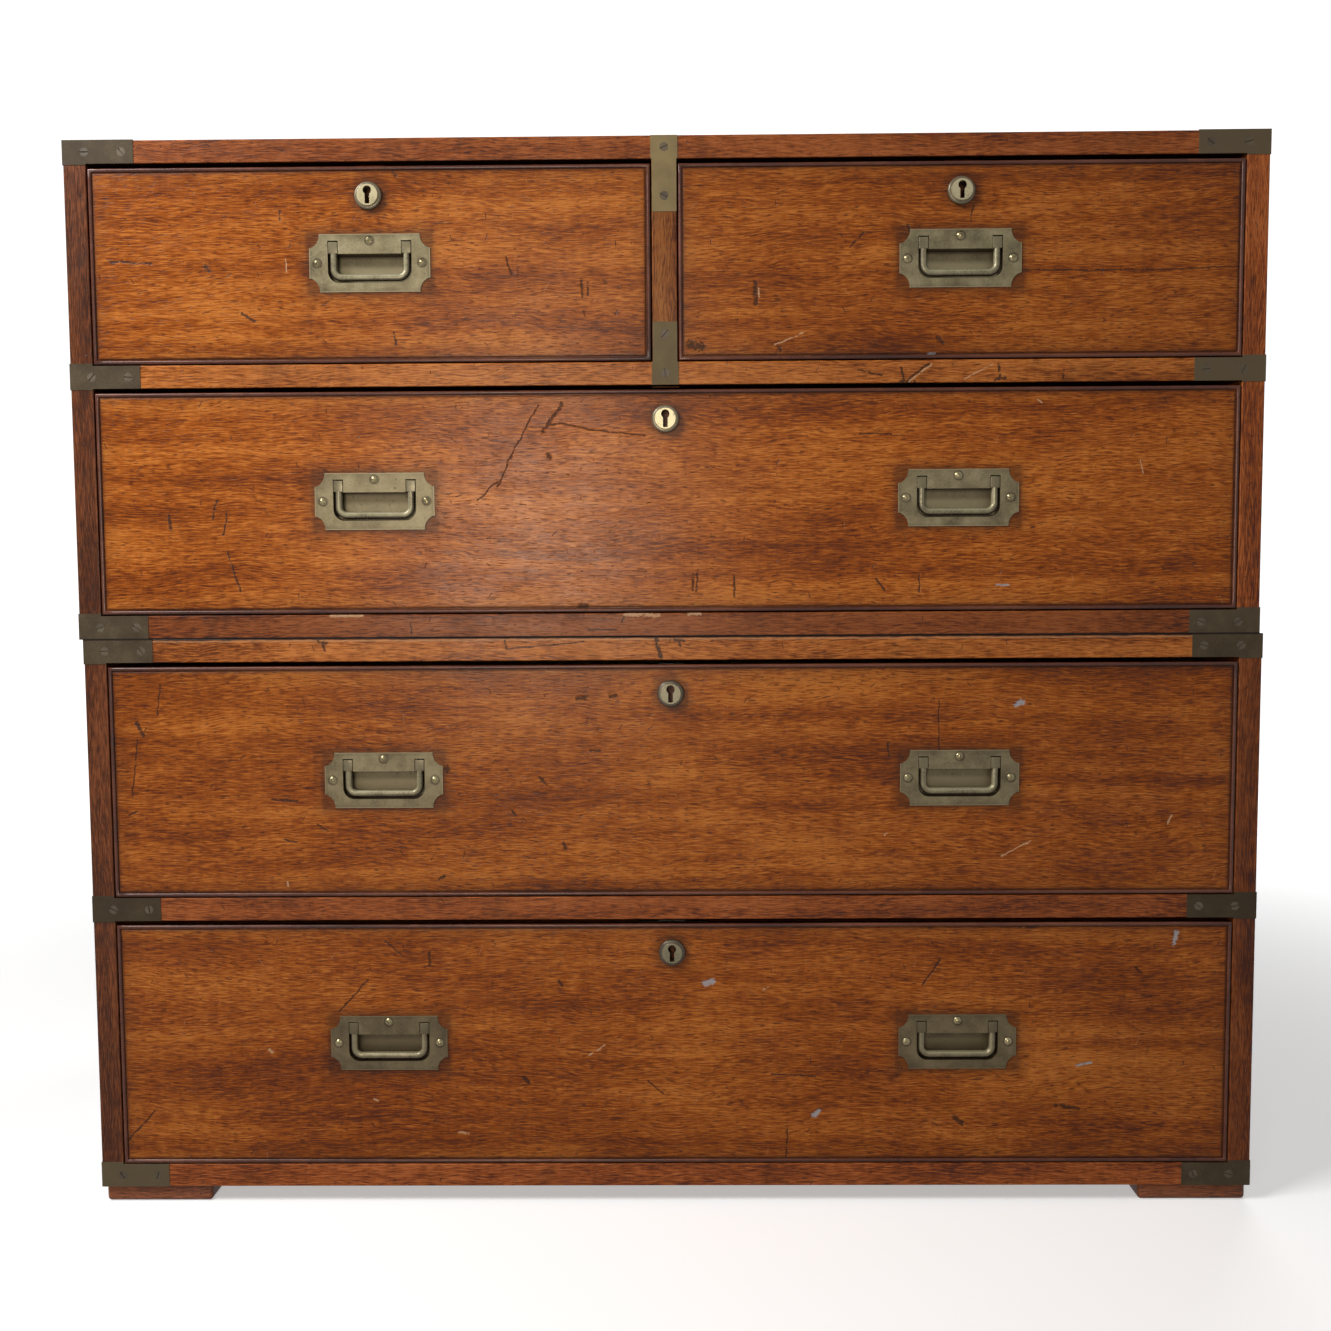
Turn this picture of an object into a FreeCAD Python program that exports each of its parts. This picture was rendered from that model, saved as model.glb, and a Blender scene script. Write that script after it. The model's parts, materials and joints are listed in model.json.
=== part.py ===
"""Campaign chest in two stacked cases: five drawers, brass brackets, flush bail handles and nozzle locks.

Millimetres. Z is up and the front faces -Y. The origin is on the floor under the middle of the chest.
"""

import FreeCAD, Part
import math
import os

# Cases
case_width = 1000.0
case_depth = 460.0
side_thickness = 19.0
upper_top_thickness = 19.0
upper_rail_thickness = 19.0
upper_bottom_thickness = 20.0
lower_top_thickness = 20.0
lower_rail_thickness = 20.0
lower_bottom_thickness = 20.0
top_row_opening = 166.0
second_row_opening = 191.0
third_row_opening = 203.5
bottom_row_opening = 216.0
stack_offset = 3.0  # the upper case stands this far to the left of the lower one
post_width = 21.0
post_housing = 5.0
rail_depth = 70.0
rail_housing = 6.0
runner_width = 40.0
runner_drop = 3.0
centre_runner_width = 90.0
back_thickness = 10.0
back_rebate = 8.0
back_plank_count = 2
edge_rounding = 0.9

# Dovetails
case_tail_count = 7
case_tail_lap = 5.0
case_end_pin = 24.0
drawer_tail_count = 4
drawer_tail_lap = 7.0
drawer_end_pin = 11.0
tail_root_share = 0.55
tail_slope_share = 0.16

# Pad feet
foot_width = 93.0
foot_depth = 93.0
foot_height = 14.5
foot_rounding = 3.5
foot_side_inset = 2.0
foot_end_inset = 3.0

# Pegs that hold the upper case in place
peg_diameter = 16.0
peg_set_in = 12.0
peg_standing = 12.0
peg_chamfer = 2.0
peg_clearance = 0.4
peg_end_gap = 1.0
peg_inset = 70.0

# Brass brackets and straps
bracket_leg = 59.0
bracket_thickness = 2.0
bracket_proud = 0.4
bracket_rise = 2.0
bracket_fall = 1.0
cap_width = 20.0
strap_rail_width = 22.4
strap_post_width = 20.4
strap_upper_drop = 43.0
strap_lower_rise = 33.0
bracket_screw_near = 18.0
bracket_screw_far = 49.0
side_screw_near = 32.0
cap_screw_along = 40.0
strap_screw_share = 0.3  # of the strap on the post, from its free end

# Flat slotted screws of the brackets
flat_head_diameter = 7.4
flat_head_height = 2.6
flat_shank_diameter = 3.6
flat_screw_length = 15.0
slot_width = 0.9
slot_depth = 0.9

# Domed slotted screws of the handles
dome_head_diameter = 6.9
dome_head_height = 1.9
dome_shank_diameter = 3.2
dome_screw_length = 13.0
pilot_clearance = 0.05
screw_turn_step = 52.0  # degrees from one screw slot to the next

# Drawers
drawer_top_gap = 3.8
drawer_side_gap = 1.0
drawer_bottom_gap = 1.0
run_clearance = 0.3
front_thickness = 20.0
drawer_side_thickness = 11.0
drawer_side_drop = 3.0
drawer_back_thickness = 10.0
drawer_back_drop = 8.0
drawer_bottom_thickness = 6.0
drawer_bottom_height = 8.0
drawer_groove_depth = 5.0
drawer_rear_gap = 0.5

# Cock bead round each drawer front
bead_width = 3.4
bead_depth = 6.0
bead_proud = 0.6
quirk_width = 0.9
quirk_depth = 1.0

# Handle plates, their pans and their bails
plate_width = 101.0
plate_height = 47.6
plate_thickness = 2.4
plate_proud = 0.6
scoop_width = 8.4
scoop_height = 11.4
scoop_shoulder_width = 1.0
scoop_bite_share = 0.7
plate_end_width = 15.5  # from the recess to the end of the plate
plate_foot_height = 7.6
recess_drop = 16.2
recess_radius = 9.5
pan_depth = 12.0
pan_wall = 1.6
seat_clearance = 0.1  # in the wood round a plate and its pan
knuckle_width = 8.6
knuckle_height = 10.8
knuckle_depth = 9.0
knuckle_cheek = 2.2
rod_diameter = 5.4
rod_bottom_gap = 1.9
bail_corner_radius = 7.0
lug_width = 7.8
lug_thickness = 5.0
lug_rise = 4.6
lug_fall = 5.0
pivot_drop = 5.5  # from the top of the knuckle slot to the swing axis
pivot_diameter = 3.0
pivot_clearance = 0.05
pivot_reach = 1.2
pivot_end_gap = 0.3
plate_screw_drop = 5.4
plate_screw_end = 6.7

# Locks
lock_drop = 28.5
lock_width = 60.0
lock_height = 42.0
lock_depth = 13.0
lock_wall = 2.0
nozzle_base_diameter = 23.0
nozzle_ring_diameter = 19.2
nozzle_face_diameter = 17.6
nozzle_neck_diameter = 15.0
nozzle_proud = 5.5
nozzle_ring_height = 3.8
nozzle_base_height = 1.4
nozzle_bulge = 0.5
keyhole_diameter = 6.6
keyhole_slot_width = 3.6
keyhole_height = 14.3
bolt_width = 22.0
bolt_thickness = 6.0
bolt_throw = 9.0
bolt_clearance = 0.2
bolt_body_width = 34.0
bolt_body_height = 14.0
mortise_clearance = 0.6

overrun = 1.0  # how far a cutting shape reaches past the face it opens

# Places that follow from the sizes
y_front = (nozzle_proud - bracket_proud - case_depth) / 2
y_back = y_front + case_depth
y_plank = y_back - back_thickness
y_plate = y_front - plate_proud
y_drawer_end = y_plank - drawer_rear_gap
y_front_rear = y_front + front_thickness
y_lock = y_front_rear - lock_depth
y_pivot = y_plate + rod_diameter / 2
plate_top = plate_height / 2
recess_width = plate_width - plate_end_width * 2
recess_top = plate_top - recess_drop
recess_bottom = plate_foot_height - plate_top
knuckle_top = recess_top + knuckle_height
z_pivot = knuckle_top - pivot_drop
leg_offset = recess_width / 2 - knuckle_width / 2
short_drawer_offset = (case_width / 2 - side_thickness + post_width / 2) / 2


class Case:
    """One of the two stacked cases: where its middle is, and the heights of its boards."""

    def __init__(self, name, middle, floor, bottom, low_opening, rail, high_opening, top):
        self.name = name
        self.middle = middle
        self.floor = floor
        self.low_bay = floor + bottom
        self.rail_low = self.low_bay + low_opening
        self.rail_high = self.rail_low + rail
        self.top_low = self.rail_high + high_opening
        self.roof = self.top_low + top
        self.left = middle - case_width / 2
        self.right = middle + case_width / 2
        self.bay_left = self.left + side_thickness
        self.bay_right = self.right - side_thickness


class Drawer:
    """One drawer: the edges of its front and the middles of its handles."""

    def __init__(self, name, left, right, low, high, handles):
        self.name = name
        self.left = left + drawer_side_gap
        self.right = right - drawer_side_gap
        self.middle = (left + right) / 2
        self.base = low + run_clearance
        self.low = low + drawer_bottom_gap
        self.high = high - drawer_top_gap
        self.roof = high
        self.side_high = self.high - drawer_side_drop
        self.panel_low = self.base + drawer_bottom_height
        self.panel_high = self.panel_low + drawer_bottom_thickness
        self.handles = handles
        self.handle_z = (low + high) / 2
        self.lock_z = high - lock_drop


lower = Case("lower", stack_offset / 2, foot_height, lower_bottom_thickness, bottom_row_opening,
             lower_rail_thickness, third_row_opening, lower_top_thickness)
upper = Case("upper", -stack_offset / 2, lower.roof, upper_bottom_thickness, second_row_opening,
             upper_rail_thickness, top_row_opening, upper_top_thickness)


def drawer_list(case):
    """The drawers of one case, lowest row first."""
    pair = [case.middle - short_drawer_offset, case.middle + short_drawer_offset]
    if case is lower:
        return [
            Drawer("bottom", case.bay_left, case.bay_right, case.low_bay, case.rail_low, pair),
            Drawer("third", case.bay_left, case.bay_right, case.rail_high, case.top_low, pair),
        ]
    post_left = case.middle - post_width / 2
    post_right = case.middle + post_width / 2
    return [
        Drawer("second", case.bay_left, case.bay_right, case.low_bay, case.rail_low, pair),
        Drawer("top_left", case.bay_left, post_left, case.rail_high, case.top_low, pair[:1]),
        Drawer("top_right", post_right, case.bay_right, case.rail_high, case.top_low, pair[1:]),
    ]


def vector(x, y, z):
    return FreeCAD.Vector(x, y, z)


def block(x0, x1, y0, y1, z0, z1):
    """An upright box between two values on each axis, in either order."""
    corner = vector(min(x0, x1), min(y0, y1), min(z0, z1))
    return Part.makeBox(abs(x1 - x0), abs(y1 - y0), abs(z1 - z0), corner)


def joined(pieces):
    """The pieces fused to one solid with no seams left on its flat faces."""
    return pieces[0].fuse(pieces[1:]).removeSplitter()


def eased(board, capped=False):
    """A plain board with the edges of its front face worn round, and those of its upper face where asked."""
    high = board.BoundBox.ZMax
    worn = []
    for edge in board.Edges:
        on_front = edge.BoundBox.YMax < y_front + edge_rounding
        on_roof = edge.BoundBox.ZMin > high - edge_rounding
        if on_front or (capped and on_roof):
            worn.append(edge)
    return board.makeFillet(edge_rounding, worn)


def carve(piece, tools):
    """The piece with every tool that reaches it cut away."""
    near = [tool for tool in tools if piece.BoundBox.intersect(tool.BoundBox)]
    return piece.cut(near) if near else piece


def group(pieces):
    """The solids of several pieces, kept separate in one shape."""
    return Part.makeCompound([solid for piece in pieces for solid in piece.Solids])


def prism(edges, depth):
    """A solid of the closed outline that the edges form, carried along Y."""
    return Part.Face(Part.Wire(edges)).extrude(vector(0, depth, 0))


def line(start, end):
    return Part.LineSegment(start, end).toShape()


def arc(start, middle, end):
    return Part.Arc(start, middle, end).toShape()


def bend_inset(radius):
    """How far in from a corner, on each axis, the middle of the quarter bend that rounds it lies."""
    return radius * (1 - math.cos(math.pi / 4))


def turned(points):
    """A solid turned about Z from the (radius, height) corners of half its section."""
    corners = [vector(radius, 0, height) for radius, height in points]
    section = Part.Face(Part.makePolygon(corners + corners[:1]))
    return section.revolve(vector(0, 0, 0), vector(0, 0, 1), 360)


def aimed(shape, point, direction, turn):
    """A copy of a shape made along Z: turned about its axis, aimed along a direction and set on a point."""
    spin = FreeCAD.Rotation(vector(0, 0, 1), turn)
    aim = FreeCAD.Rotation(vector(0, 0, 1), direction)
    placed = shape.copy()
    placed.Placement = FreeCAD.Placement(point, aim.multiply(spin))
    return placed


def tail_row(x_low, x_high, low, high, count, root, tip, place):
    """A row of dovetails from low to high through a board's thickness.

    `place` gives Y and Z from the places along and out of the joint.
    """
    pitch = (high - low) / (count - 1 + tail_root_share)
    half_root = pitch * tail_root_share / 2
    half_tip = half_root + abs(tip - root) * tail_slope_share
    tails = []
    for index in range(count):
        middle = low + half_root + pitch * index
        corners = [(middle - half_root, root), (middle + half_root, root)]
        corners += [(middle + half_tip, tip), (middle - half_tip, tip)]
        points = [vector(x_low, *place(along, out)) for along, out in corners]
        face = Part.Face(Part.makePolygon(points + points[:1]))
        tails.append(face.extrude(vector(x_high - x_low, 0, 0)))
    return tails


# Case boards

def case_tails(case, side):
    """The dovetails at both ends of one case side."""
    outer = case.middle + side * case_width / 2
    inner = outer - side * side_thickness
    x_low, x_high = min(inner, outer), max(inner, outer)
    tails = []
    for root, tip in ((case.top_low, case.roof - case_tail_lap), (case.low_bay, case.floor + case_tail_lap)):
        tails += tail_row(x_low, x_high, y_front + case_end_pin, y_back - case_end_pin, case_tail_count,
                          root, tip, lambda along, out: (along, out))
    return tails


def case_side(case, side):
    """A side board with its dovetails, before anything is let into it."""
    outer = case.middle + side * case_width / 2
    inner = outer - side * side_thickness
    board = eased(block(inner, outer, y_front, y_back, case.low_bay, case.top_low))
    return joined([board] + case_tails(case, side))


def case_board(case, low, high):
    """The top or bottom board, with sockets for the side boards' dovetails."""
    board = eased(block(case.left, case.right, y_front, y_back, low, high), high == upper.roof)
    return carve(board, case_tails(case, -1) + case_tails(case, 1))


def drawer_rail(case):
    """The rail between the rows of drawers, housed in the sides."""
    left = case.bay_left - rail_housing
    right = case.bay_right + rail_housing
    return block(left, right, y_front, y_front + rail_depth, case.rail_low, case.rail_high)


def runners(case):
    """The strips behind the rail that carry the drawers' sides."""
    y_start = y_front + rail_depth
    low = case.rail_low + runner_drop
    strips = [
        block(case.bay_left, case.bay_left + runner_width, y_start, y_plank, low, case.rail_high),
        block(case.bay_right, case.bay_right - runner_width, y_start, y_plank, low, case.rail_high),
    ]
    if case is upper:
        half = centre_runner_width / 2
        strips.append(block(case.middle - half, case.middle + half, y_start, y_plank, low, case.rail_high))
    return strips


def post(case):
    """The upright between the short drawers, housed in the top board."""
    half = post_width / 2
    top = case.top_low + post_housing
    return block(case.middle - half, case.middle + half, y_front, y_plank, case.rail_high, top)


def back_planks(case):
    """Level planks that close the back, lying in rebates all round."""
    low = case.low_bay - back_rebate
    height = (case.top_low + back_rebate - low) / back_plank_count
    left = case.bay_left - back_rebate
    right = case.bay_right + back_rebate
    planks = []
    for index in range(back_plank_count):
        start = low + index * height
        planks.append(block(left, right, y_plank, y_back, start, start + height))
    return planks


def feet():
    """Four flat pads with rounded edges under the lower case."""
    pads = []
    for left in (lower.left + foot_side_inset, lower.right - foot_side_inset - foot_width):
        for start in (y_front + foot_end_inset, y_back - foot_end_inset - foot_depth):
            pad = block(left, left + foot_width, start, start + foot_depth, 0, foot_height)
            pads.append(pad.makeFillet(foot_rounding, pad.Edges))
    return pads


def peg_points():
    """Where the locating pegs stand on the lower case."""
    xs = (lower.left + peg_inset, lower.right - peg_inset)
    ys = (y_front + peg_inset, y_back - peg_inset)
    return [vector(x, y, lower.roof - peg_set_in) for x in xs for y in ys]


def pegs():
    radius = peg_diameter / 2
    height = peg_set_in + peg_standing
    tip = radius - peg_chamfer
    peg = turned([(0, 0), (radius, 0), (radius, height - peg_chamfer), (tip, height), (0, height)])
    return [aimed(peg, point, vector(0, 0, 1), 0) for point in peg_points()]


def peg_holes():
    """The looser holes for the pegs in the upper case's bottom board."""
    radius = peg_diameter / 2 + peg_clearance
    depth = peg_set_in + peg_standing + peg_end_gap
    return [Part.makeCylinder(radius, depth, point) for point in peg_points()]


# Brass on the cases

def flat_screw_body():
    """A flat-headed screw along Z without its slot."""
    head = flat_head_diameter / 2
    shank = flat_shank_diameter / 2
    end = flat_screw_length
    return turned([(0, 0), (head, 0), (shank, flat_head_height), (shank, end), (0, end)])


def flat_screw(body):
    half = slot_width / 2
    reach = flat_head_diameter / 2 + overrun
    return body.cut(block(-reach, reach, -half, half, -overrun, slot_depth))


def bracket_levels(case):
    """Heights of a case's brackets: rail part low and high, side-edge part low and high, capped or not."""
    roof = case.roof + bracket_proud if case is upper else case.roof
    top = (case.top_low, roof, case.top_low - bracket_fall, roof, case is upper)
    rail_low, rail_high = case.rail_low, case.rail_high
    middle = (rail_low, rail_high, rail_low - bracket_fall, rail_high + bracket_rise, False)
    bottom = (case.floor, case.low_bay, case.floor, case.low_bay + bracket_rise, False)
    return top, middle, bottom


def corner_bracket(case, side, end, level):
    """A bent bracket on one corner, and the head points and directions of its screws."""
    low, high, edge_low, edge_high, capped = level
    x_face = case.middle + side * case_width / 2
    y_face = y_front if end < 0 else y_back
    x_out = x_face + side * bracket_proud
    y_out = y_face + end * bracket_proud
    x_in = x_out - side * bracket_thickness
    y_in = y_out - end * bracket_thickness
    x_leg = x_face - side * bracket_leg
    y_leg = y_face - end * bracket_leg
    plates = [
        block(x_leg, x_out, y_out, y_in, low, high),
        block(x_face - side * side_thickness, x_out, y_out, y_in, edge_low, edge_high),
        block(x_in, x_out, y_out, y_leg, edge_low, edge_high),
    ]
    middle = (low + min(high, case.roof)) / 2
    screws = []
    for distance in (bracket_screw_near, bracket_screw_far):
        screws.append((vector(x_face - side * distance, y_out, middle), vector(0, -end, 0)))
    for distance in (side_screw_near, bracket_screw_far):
        screws.append((vector(x_out, y_face - end * distance, middle), vector(-side, 0, 0)))
    if capped:
        x_cap = x_face - side * cap_width
        y_cap = y_face - end * cap_width
        plates.append(block(x_leg, x_out, y_out, y_cap, high - bracket_thickness, high))
        plates.append(block(x_cap, x_out, y_out, y_leg, high - bracket_thickness, high))
        along_x = vector(x_face - side * cap_screw_along, (y_face + y_cap) / 2, high)
        along_y = vector((x_face + x_cap) / 2, y_face - end * cap_screw_along, high)
        screws += [(along_x, vector(0, 0, -1)), (along_y, vector(0, 0, -1))]
    return joined(plates), screws


def post_strap(case, rail_low, rail_high, post_end):
    """A straight strap over a rail and part of the post, and the places of its two screws."""
    y_out = y_front - bracket_proud
    y_in = y_out + bracket_thickness
    half_rail = strap_rail_width / 2
    half_post = strap_post_width / 2
    meeting = rail_low if post_end < rail_low else rail_high
    strap = joined([
        block(case.middle - half_rail, case.middle + half_rail, y_out, y_in, rail_low, rail_high),
        block(case.middle - half_post, case.middle + half_post, y_out, y_in, meeting, post_end),
    ])
    inward = vector(0, 1, 0)
    heights = ((rail_low + rail_high) / 2, post_end + (meeting - post_end) * strap_screw_share)
    return strap, [(vector(case.middle, y_out, height), inward) for height in heights]


def bindings(case):
    """The brass of one case with countersunk holes, its screws, and the shapes to let into the wood."""
    top, middle, bottom = bracket_levels(case)
    made = []
    for side in (-1, 1):
        made += [corner_bracket(case, side, -1, level) for level in (top, middle, bottom)]
        made += [corner_bracket(case, side, 1, level) for level in (top, bottom)]
    if case is upper:
        made.append(post_strap(case, case.top_low, case.roof, case.top_low - strap_upper_drop))
        made.append(post_strap(case, case.rail_low, case.rail_high, case.rail_high + strap_lower_rise))
    body = flat_screw_body()
    slotted = flat_screw(body)
    straps, screws, sunk = [], [], []
    for plate, places in made:
        bodies = []
        for point, direction in places:
            turn = screw_turn_step * len(screws)
            bodies.append(aimed(body, point, direction, turn))
            screws.append(aimed(slotted, point, direction, turn))
        straps.append(plate.cut(bodies))
        sunk += [plate] + bodies
    return straps, screws, sunk


# Drawer boxes

def bead_strip(start, across, along):
    """One strip of rounded bead, mitred at both ends; `across` points to the middle of the front."""
    nose = bead_width / 2 - bead_proud

    def corner(inward, back):
        return start + across * inward + vector(0, back, 0)

    section = [
        line(corner(0, bead_depth), corner(0, nose)),
        arc(corner(0, nose), corner(bead_width / 2, -bead_proud), corner(bead_width, nose)),
        line(corner(bead_width, nose), corner(bead_width, bead_depth)),
        line(corner(bead_width, bead_depth), corner(0, bead_depth)),
    ]
    bar = Part.Face(Part.Wire(section)).extrude(along)
    ahead = vector(along.x, along.y, along.z).normalize() * bead_width
    inside = across * bead_width
    back = vector(0, bead_proud + overrun, 0)
    corners = [start - back, start + along - back]
    corners += [start + along - ahead + inside - back, start + ahead + inside - back]
    mitre = Part.Face(Part.makePolygon(corners + corners[:1]))
    return bar.common(mitre.extrude(back * 2 + vector(0, bead_depth, 0)))


def beads(drawer):
    """The four bead strips round a drawer front."""
    width = vector(drawer.right - drawer.left, 0, 0)
    height = vector(0, 0, drawer.high - drawer.low)
    low_left = vector(drawer.left, y_front, drawer.low)
    high_right = vector(drawer.right, y_front, drawer.high)
    return [
        bead_strip(low_left, vector(0, 0, 1), width),
        bead_strip(high_right, vector(0, 0, -1), -width),
        bead_strip(low_left, vector(1, 0, 0), height),
        bead_strip(high_right, vector(-1, 0, 0), -height),
    ]


def front_board(drawer):
    """A drawer front stepped back at its edges for the bead and the quirk beside it."""
    layers = []
    inset = bead_width + quirk_width
    for edge, y_start, y_end in (
        (0, y_front + bead_depth, y_front_rear),
        (bead_width, y_front + quirk_depth, y_front + bead_depth),
        (inset, y_front, y_front + quirk_depth),
    ):
        layers.append(block(drawer.left + edge, drawer.right - edge, y_start, y_end,
                            drawer.low + edge, drawer.high - edge))
    return joined(layers)


def side_span(drawer, side):
    """Outer and inner faces of one drawer side, lower value first."""
    if side < 0:
        return drawer.left, drawer.left + drawer_side_thickness
    return drawer.right - drawer_side_thickness, drawer.right


def front_tails(drawer, side):
    x_low, x_high = side_span(drawer, side)
    low = drawer.low + drawer_end_pin
    high = drawer.side_high - drawer_end_pin
    return tail_row(x_low, x_high, low, high, drawer_tail_count, y_front_rear, y_front + drawer_tail_lap,
                    lambda along, out: (out, along))


def back_board(drawer):
    """The drawer's back between its sides, with sockets for their rear dovetails."""
    low = drawer.panel_high
    high = drawer.side_high - drawer_back_drop
    root = y_drawer_end - drawer_back_thickness
    board = block(drawer.left, drawer.right, root, y_drawer_end, low, high)
    tails = []
    for side in (-1, 1):
        x_low, x_high = side_span(drawer, side)
        tails += tail_row(x_low, x_high, low + drawer_end_pin, high - drawer_end_pin, drawer_tail_count,
                          root, y_drawer_end, lambda along, out: (out, along))
    return carve(board, tails)


def bottom_panel(drawer):
    """The thin bottom, let into the front and the sides and running under the back."""
    inset = drawer_side_thickness - drawer_groove_depth
    return block(drawer.left + inset, drawer.right - inset, y_front_rear - drawer_groove_depth, y_drawer_end,
                 drawer.panel_low, drawer.panel_high)


def drawer_sides(drawer, back, panel):
    boards = []
    for side in (-1, 1):
        x_low, x_high = side_span(drawer, side)
        board = block(x_low, x_high, y_front_rear, y_drawer_end, drawer.base, drawer.side_high)
        boards.append(carve(joined([board] + front_tails(drawer, side)), [back, panel]))
    return boards


# Handles

def plate_outline(growth):
    """The edges of a handle plate with a scoop and small shoulders at each corner, grown all round."""
    y = y_plate
    half_width = plate_width / 2 + growth
    half_height = plate_height / 2 + growth
    edges = []
    for turn_x, turn_z in ((1, 1), (1, -1), (-1, -1), (-1, 1)):
        top = vector(turn_x * (half_width - scoop_width), y, turn_z * half_height)
        top_step = top - vector(0, 0, turn_z * scoop_shoulder_width)
        end = vector(turn_x * half_width, y, turn_z * (half_height - scoop_height))
        end_step = end - vector(turn_x * scoop_shoulder_width, 0, 0)
        bite = vector(turn_x * (half_width - scoop_width * scoop_bite_share), y,
                      turn_z * (half_height - scoop_height * scoop_bite_share))
        corner = [line(top, top_step), arc(top_step, bite, end_step), line(end_step, end)]
        edges.append((top, end, corner))
    outline = []
    for index, (top, end, corner) in enumerate(edges):
        outline += corner
        next_top, next_end, _ = edges[(index + 1) % len(edges)]
        outline.append(line(end, next_end) if index % 2 == 0 else line(top, next_top))
    return [edge for wire in Part.sortEdges(outline) for edge in wire]


def recess_outline(wall):
    """The edges of the U-shaped recess, grown all round by the wall."""
    y = y_plate
    half = recess_width / 2 + wall
    top = recess_top + wall
    bottom = recess_bottom - wall
    radius = recess_radius + wall
    bend = bend_inset(radius)
    return [
        line(vector(-half, y, top), vector(-half, y, bottom + radius)),
        arc(vector(-half, y, bottom + radius), vector(-half + bend, y, bottom + bend),
            vector(-half + radius, y, bottom)),
        line(vector(-half + radius, y, bottom), vector(half - radius, y, bottom)),
        arc(vector(half - radius, y, bottom), vector(half - bend, y, bottom + bend),
            vector(half, y, bottom + radius)),
        line(vector(half, y, bottom + radius), vector(half, y, top)),
        line(vector(half, y, top), vector(-half, y, top)),
    ]


def knuckle_box(side, wall, depth):
    """The space of one knuckle slot above the recess, grown by a wall."""
    half = knuckle_width / 2 + wall
    middle = side * leg_offset
    return block(middle - half, middle + half, y_plate, y_plate + depth, recess_top, knuckle_top + wall)


def plate_screw_points():
    """Head points of a plate's three screws, from the plate's middle."""
    end = plate_width / 2 - plate_screw_end
    places = ((0, plate_top - plate_screw_drop), (-end, 0), (end, 0))
    return [vector(x, y_plate, z) for x, z in places]


def handle_solid(growth):
    """The outside of a handle plate and its pan, with nothing hollowed out, grown all round."""
    plate = prism(plate_outline(growth), plate_thickness)
    pan = prism(recess_outline(pan_wall + growth), pan_depth + pan_wall)
    cheek = knuckle_cheek + growth
    knuckles = [knuckle_box(side, cheek, knuckle_depth + pan_wall) for side in (-1, 1)]
    return joined([plate, pan] + knuckles)


def handle_plate(solid, screw_bodies):
    """The plate with its recess, knuckle slots, pivot holes and screw holes."""
    hollows = [prism(recess_outline(0), pan_depth)]
    radius = pivot_diameter / 2 + pivot_clearance
    reach = knuckle_width / 2 + pivot_reach + pivot_end_gap
    for side in (-1, 1):
        hollows.append(knuckle_box(side, 0, knuckle_depth))
        start = vector(side * leg_offset - reach, y_pivot, z_pivot)
        hollows.append(Part.makeCylinder(radius, reach * 2, start, vector(1, 0, 0)))
    return solid.cut(hollows + screw_bodies)


def bail():
    """The swinging bail: a bent round rod with a square lug and a pivot pin at each end."""
    bar = recess_bottom + rod_bottom_gap + rod_diameter / 2
    radius = bail_corner_radius
    bend = bend_inset(radius)
    reach = leg_offset
    y = y_pivot
    path = Part.Wire([
        line(vector(-reach, y, z_pivot), vector(-reach, y, bar + radius)),
        arc(vector(-reach, y, bar + radius), vector(-reach + bend, y, bar + bend),
            vector(-reach + radius, y, bar)),
        line(vector(-reach + radius, y, bar), vector(reach - radius, y, bar)),
        arc(vector(reach - radius, y, bar), vector(reach - bend, y, bar + bend),
            vector(reach, y, bar + radius)),
        line(vector(reach, y, bar + radius), vector(reach, y, z_pivot)),
    ])
    circle = Part.Circle(vector(-reach, y, z_pivot), vector(0, 0, 1), rod_diameter / 2)
    rod = path.makePipeShell([Part.Wire(circle.toShape())], True, True)
    pieces = [rod]
    half_lug = lug_width / 2
    half_thick = lug_thickness / 2
    pin = knuckle_width / 2 + pivot_reach
    for side in (-1, 1):
        middle = side * leg_offset
        pieces.append(block(middle - half_lug, middle + half_lug, y - half_thick, y + half_thick,
                            z_pivot - lug_fall, z_pivot + lug_rise))
        start = vector(middle - pin, y, z_pivot)
        pieces.append(Part.makeCylinder(pivot_diameter / 2, pin * 2, start, vector(1, 0, 0)))
    return joined(pieces)


def dome_screw_body():
    """A domed screw along Z, head below zero, without its slot."""
    head = dome_head_diameter / 2
    shank = dome_shank_diameter / 2
    ball = (head * head + dome_head_height * dome_head_height) / (2 * dome_head_height)
    angle = math.asin(head / ball) / 2
    crown = ball - dome_head_height
    apex = vector(0, 0, -dome_head_height)
    shoulder = vector(ball * math.sin(angle), 0, crown - ball * math.cos(angle))
    section = [
        arc(apex, shoulder, vector(head, 0, 0)),
        line(vector(head, 0, 0), vector(shank, 0, 0)),
        line(vector(shank, 0, 0), vector(shank, 0, dome_screw_length)),
        line(vector(shank, 0, dome_screw_length), vector(0, 0, dome_screw_length)),
        line(vector(0, 0, dome_screw_length), apex),
    ]
    face = Part.Face(Part.Wire(section))
    return face.revolve(vector(0, 0, 0), vector(0, 0, 1), 360)


def dome_screw(body):
    half = slot_width / 2
    reach = dome_head_diameter
    low = -dome_head_height - overrun
    return body.cut(block(-reach, reach, -half, half, low, slot_depth - dome_head_height))


def moved(shape, x, z):
    placed = shape.copy()
    placed.translate(vector(x, 0, z))
    return placed


# Locks

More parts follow.
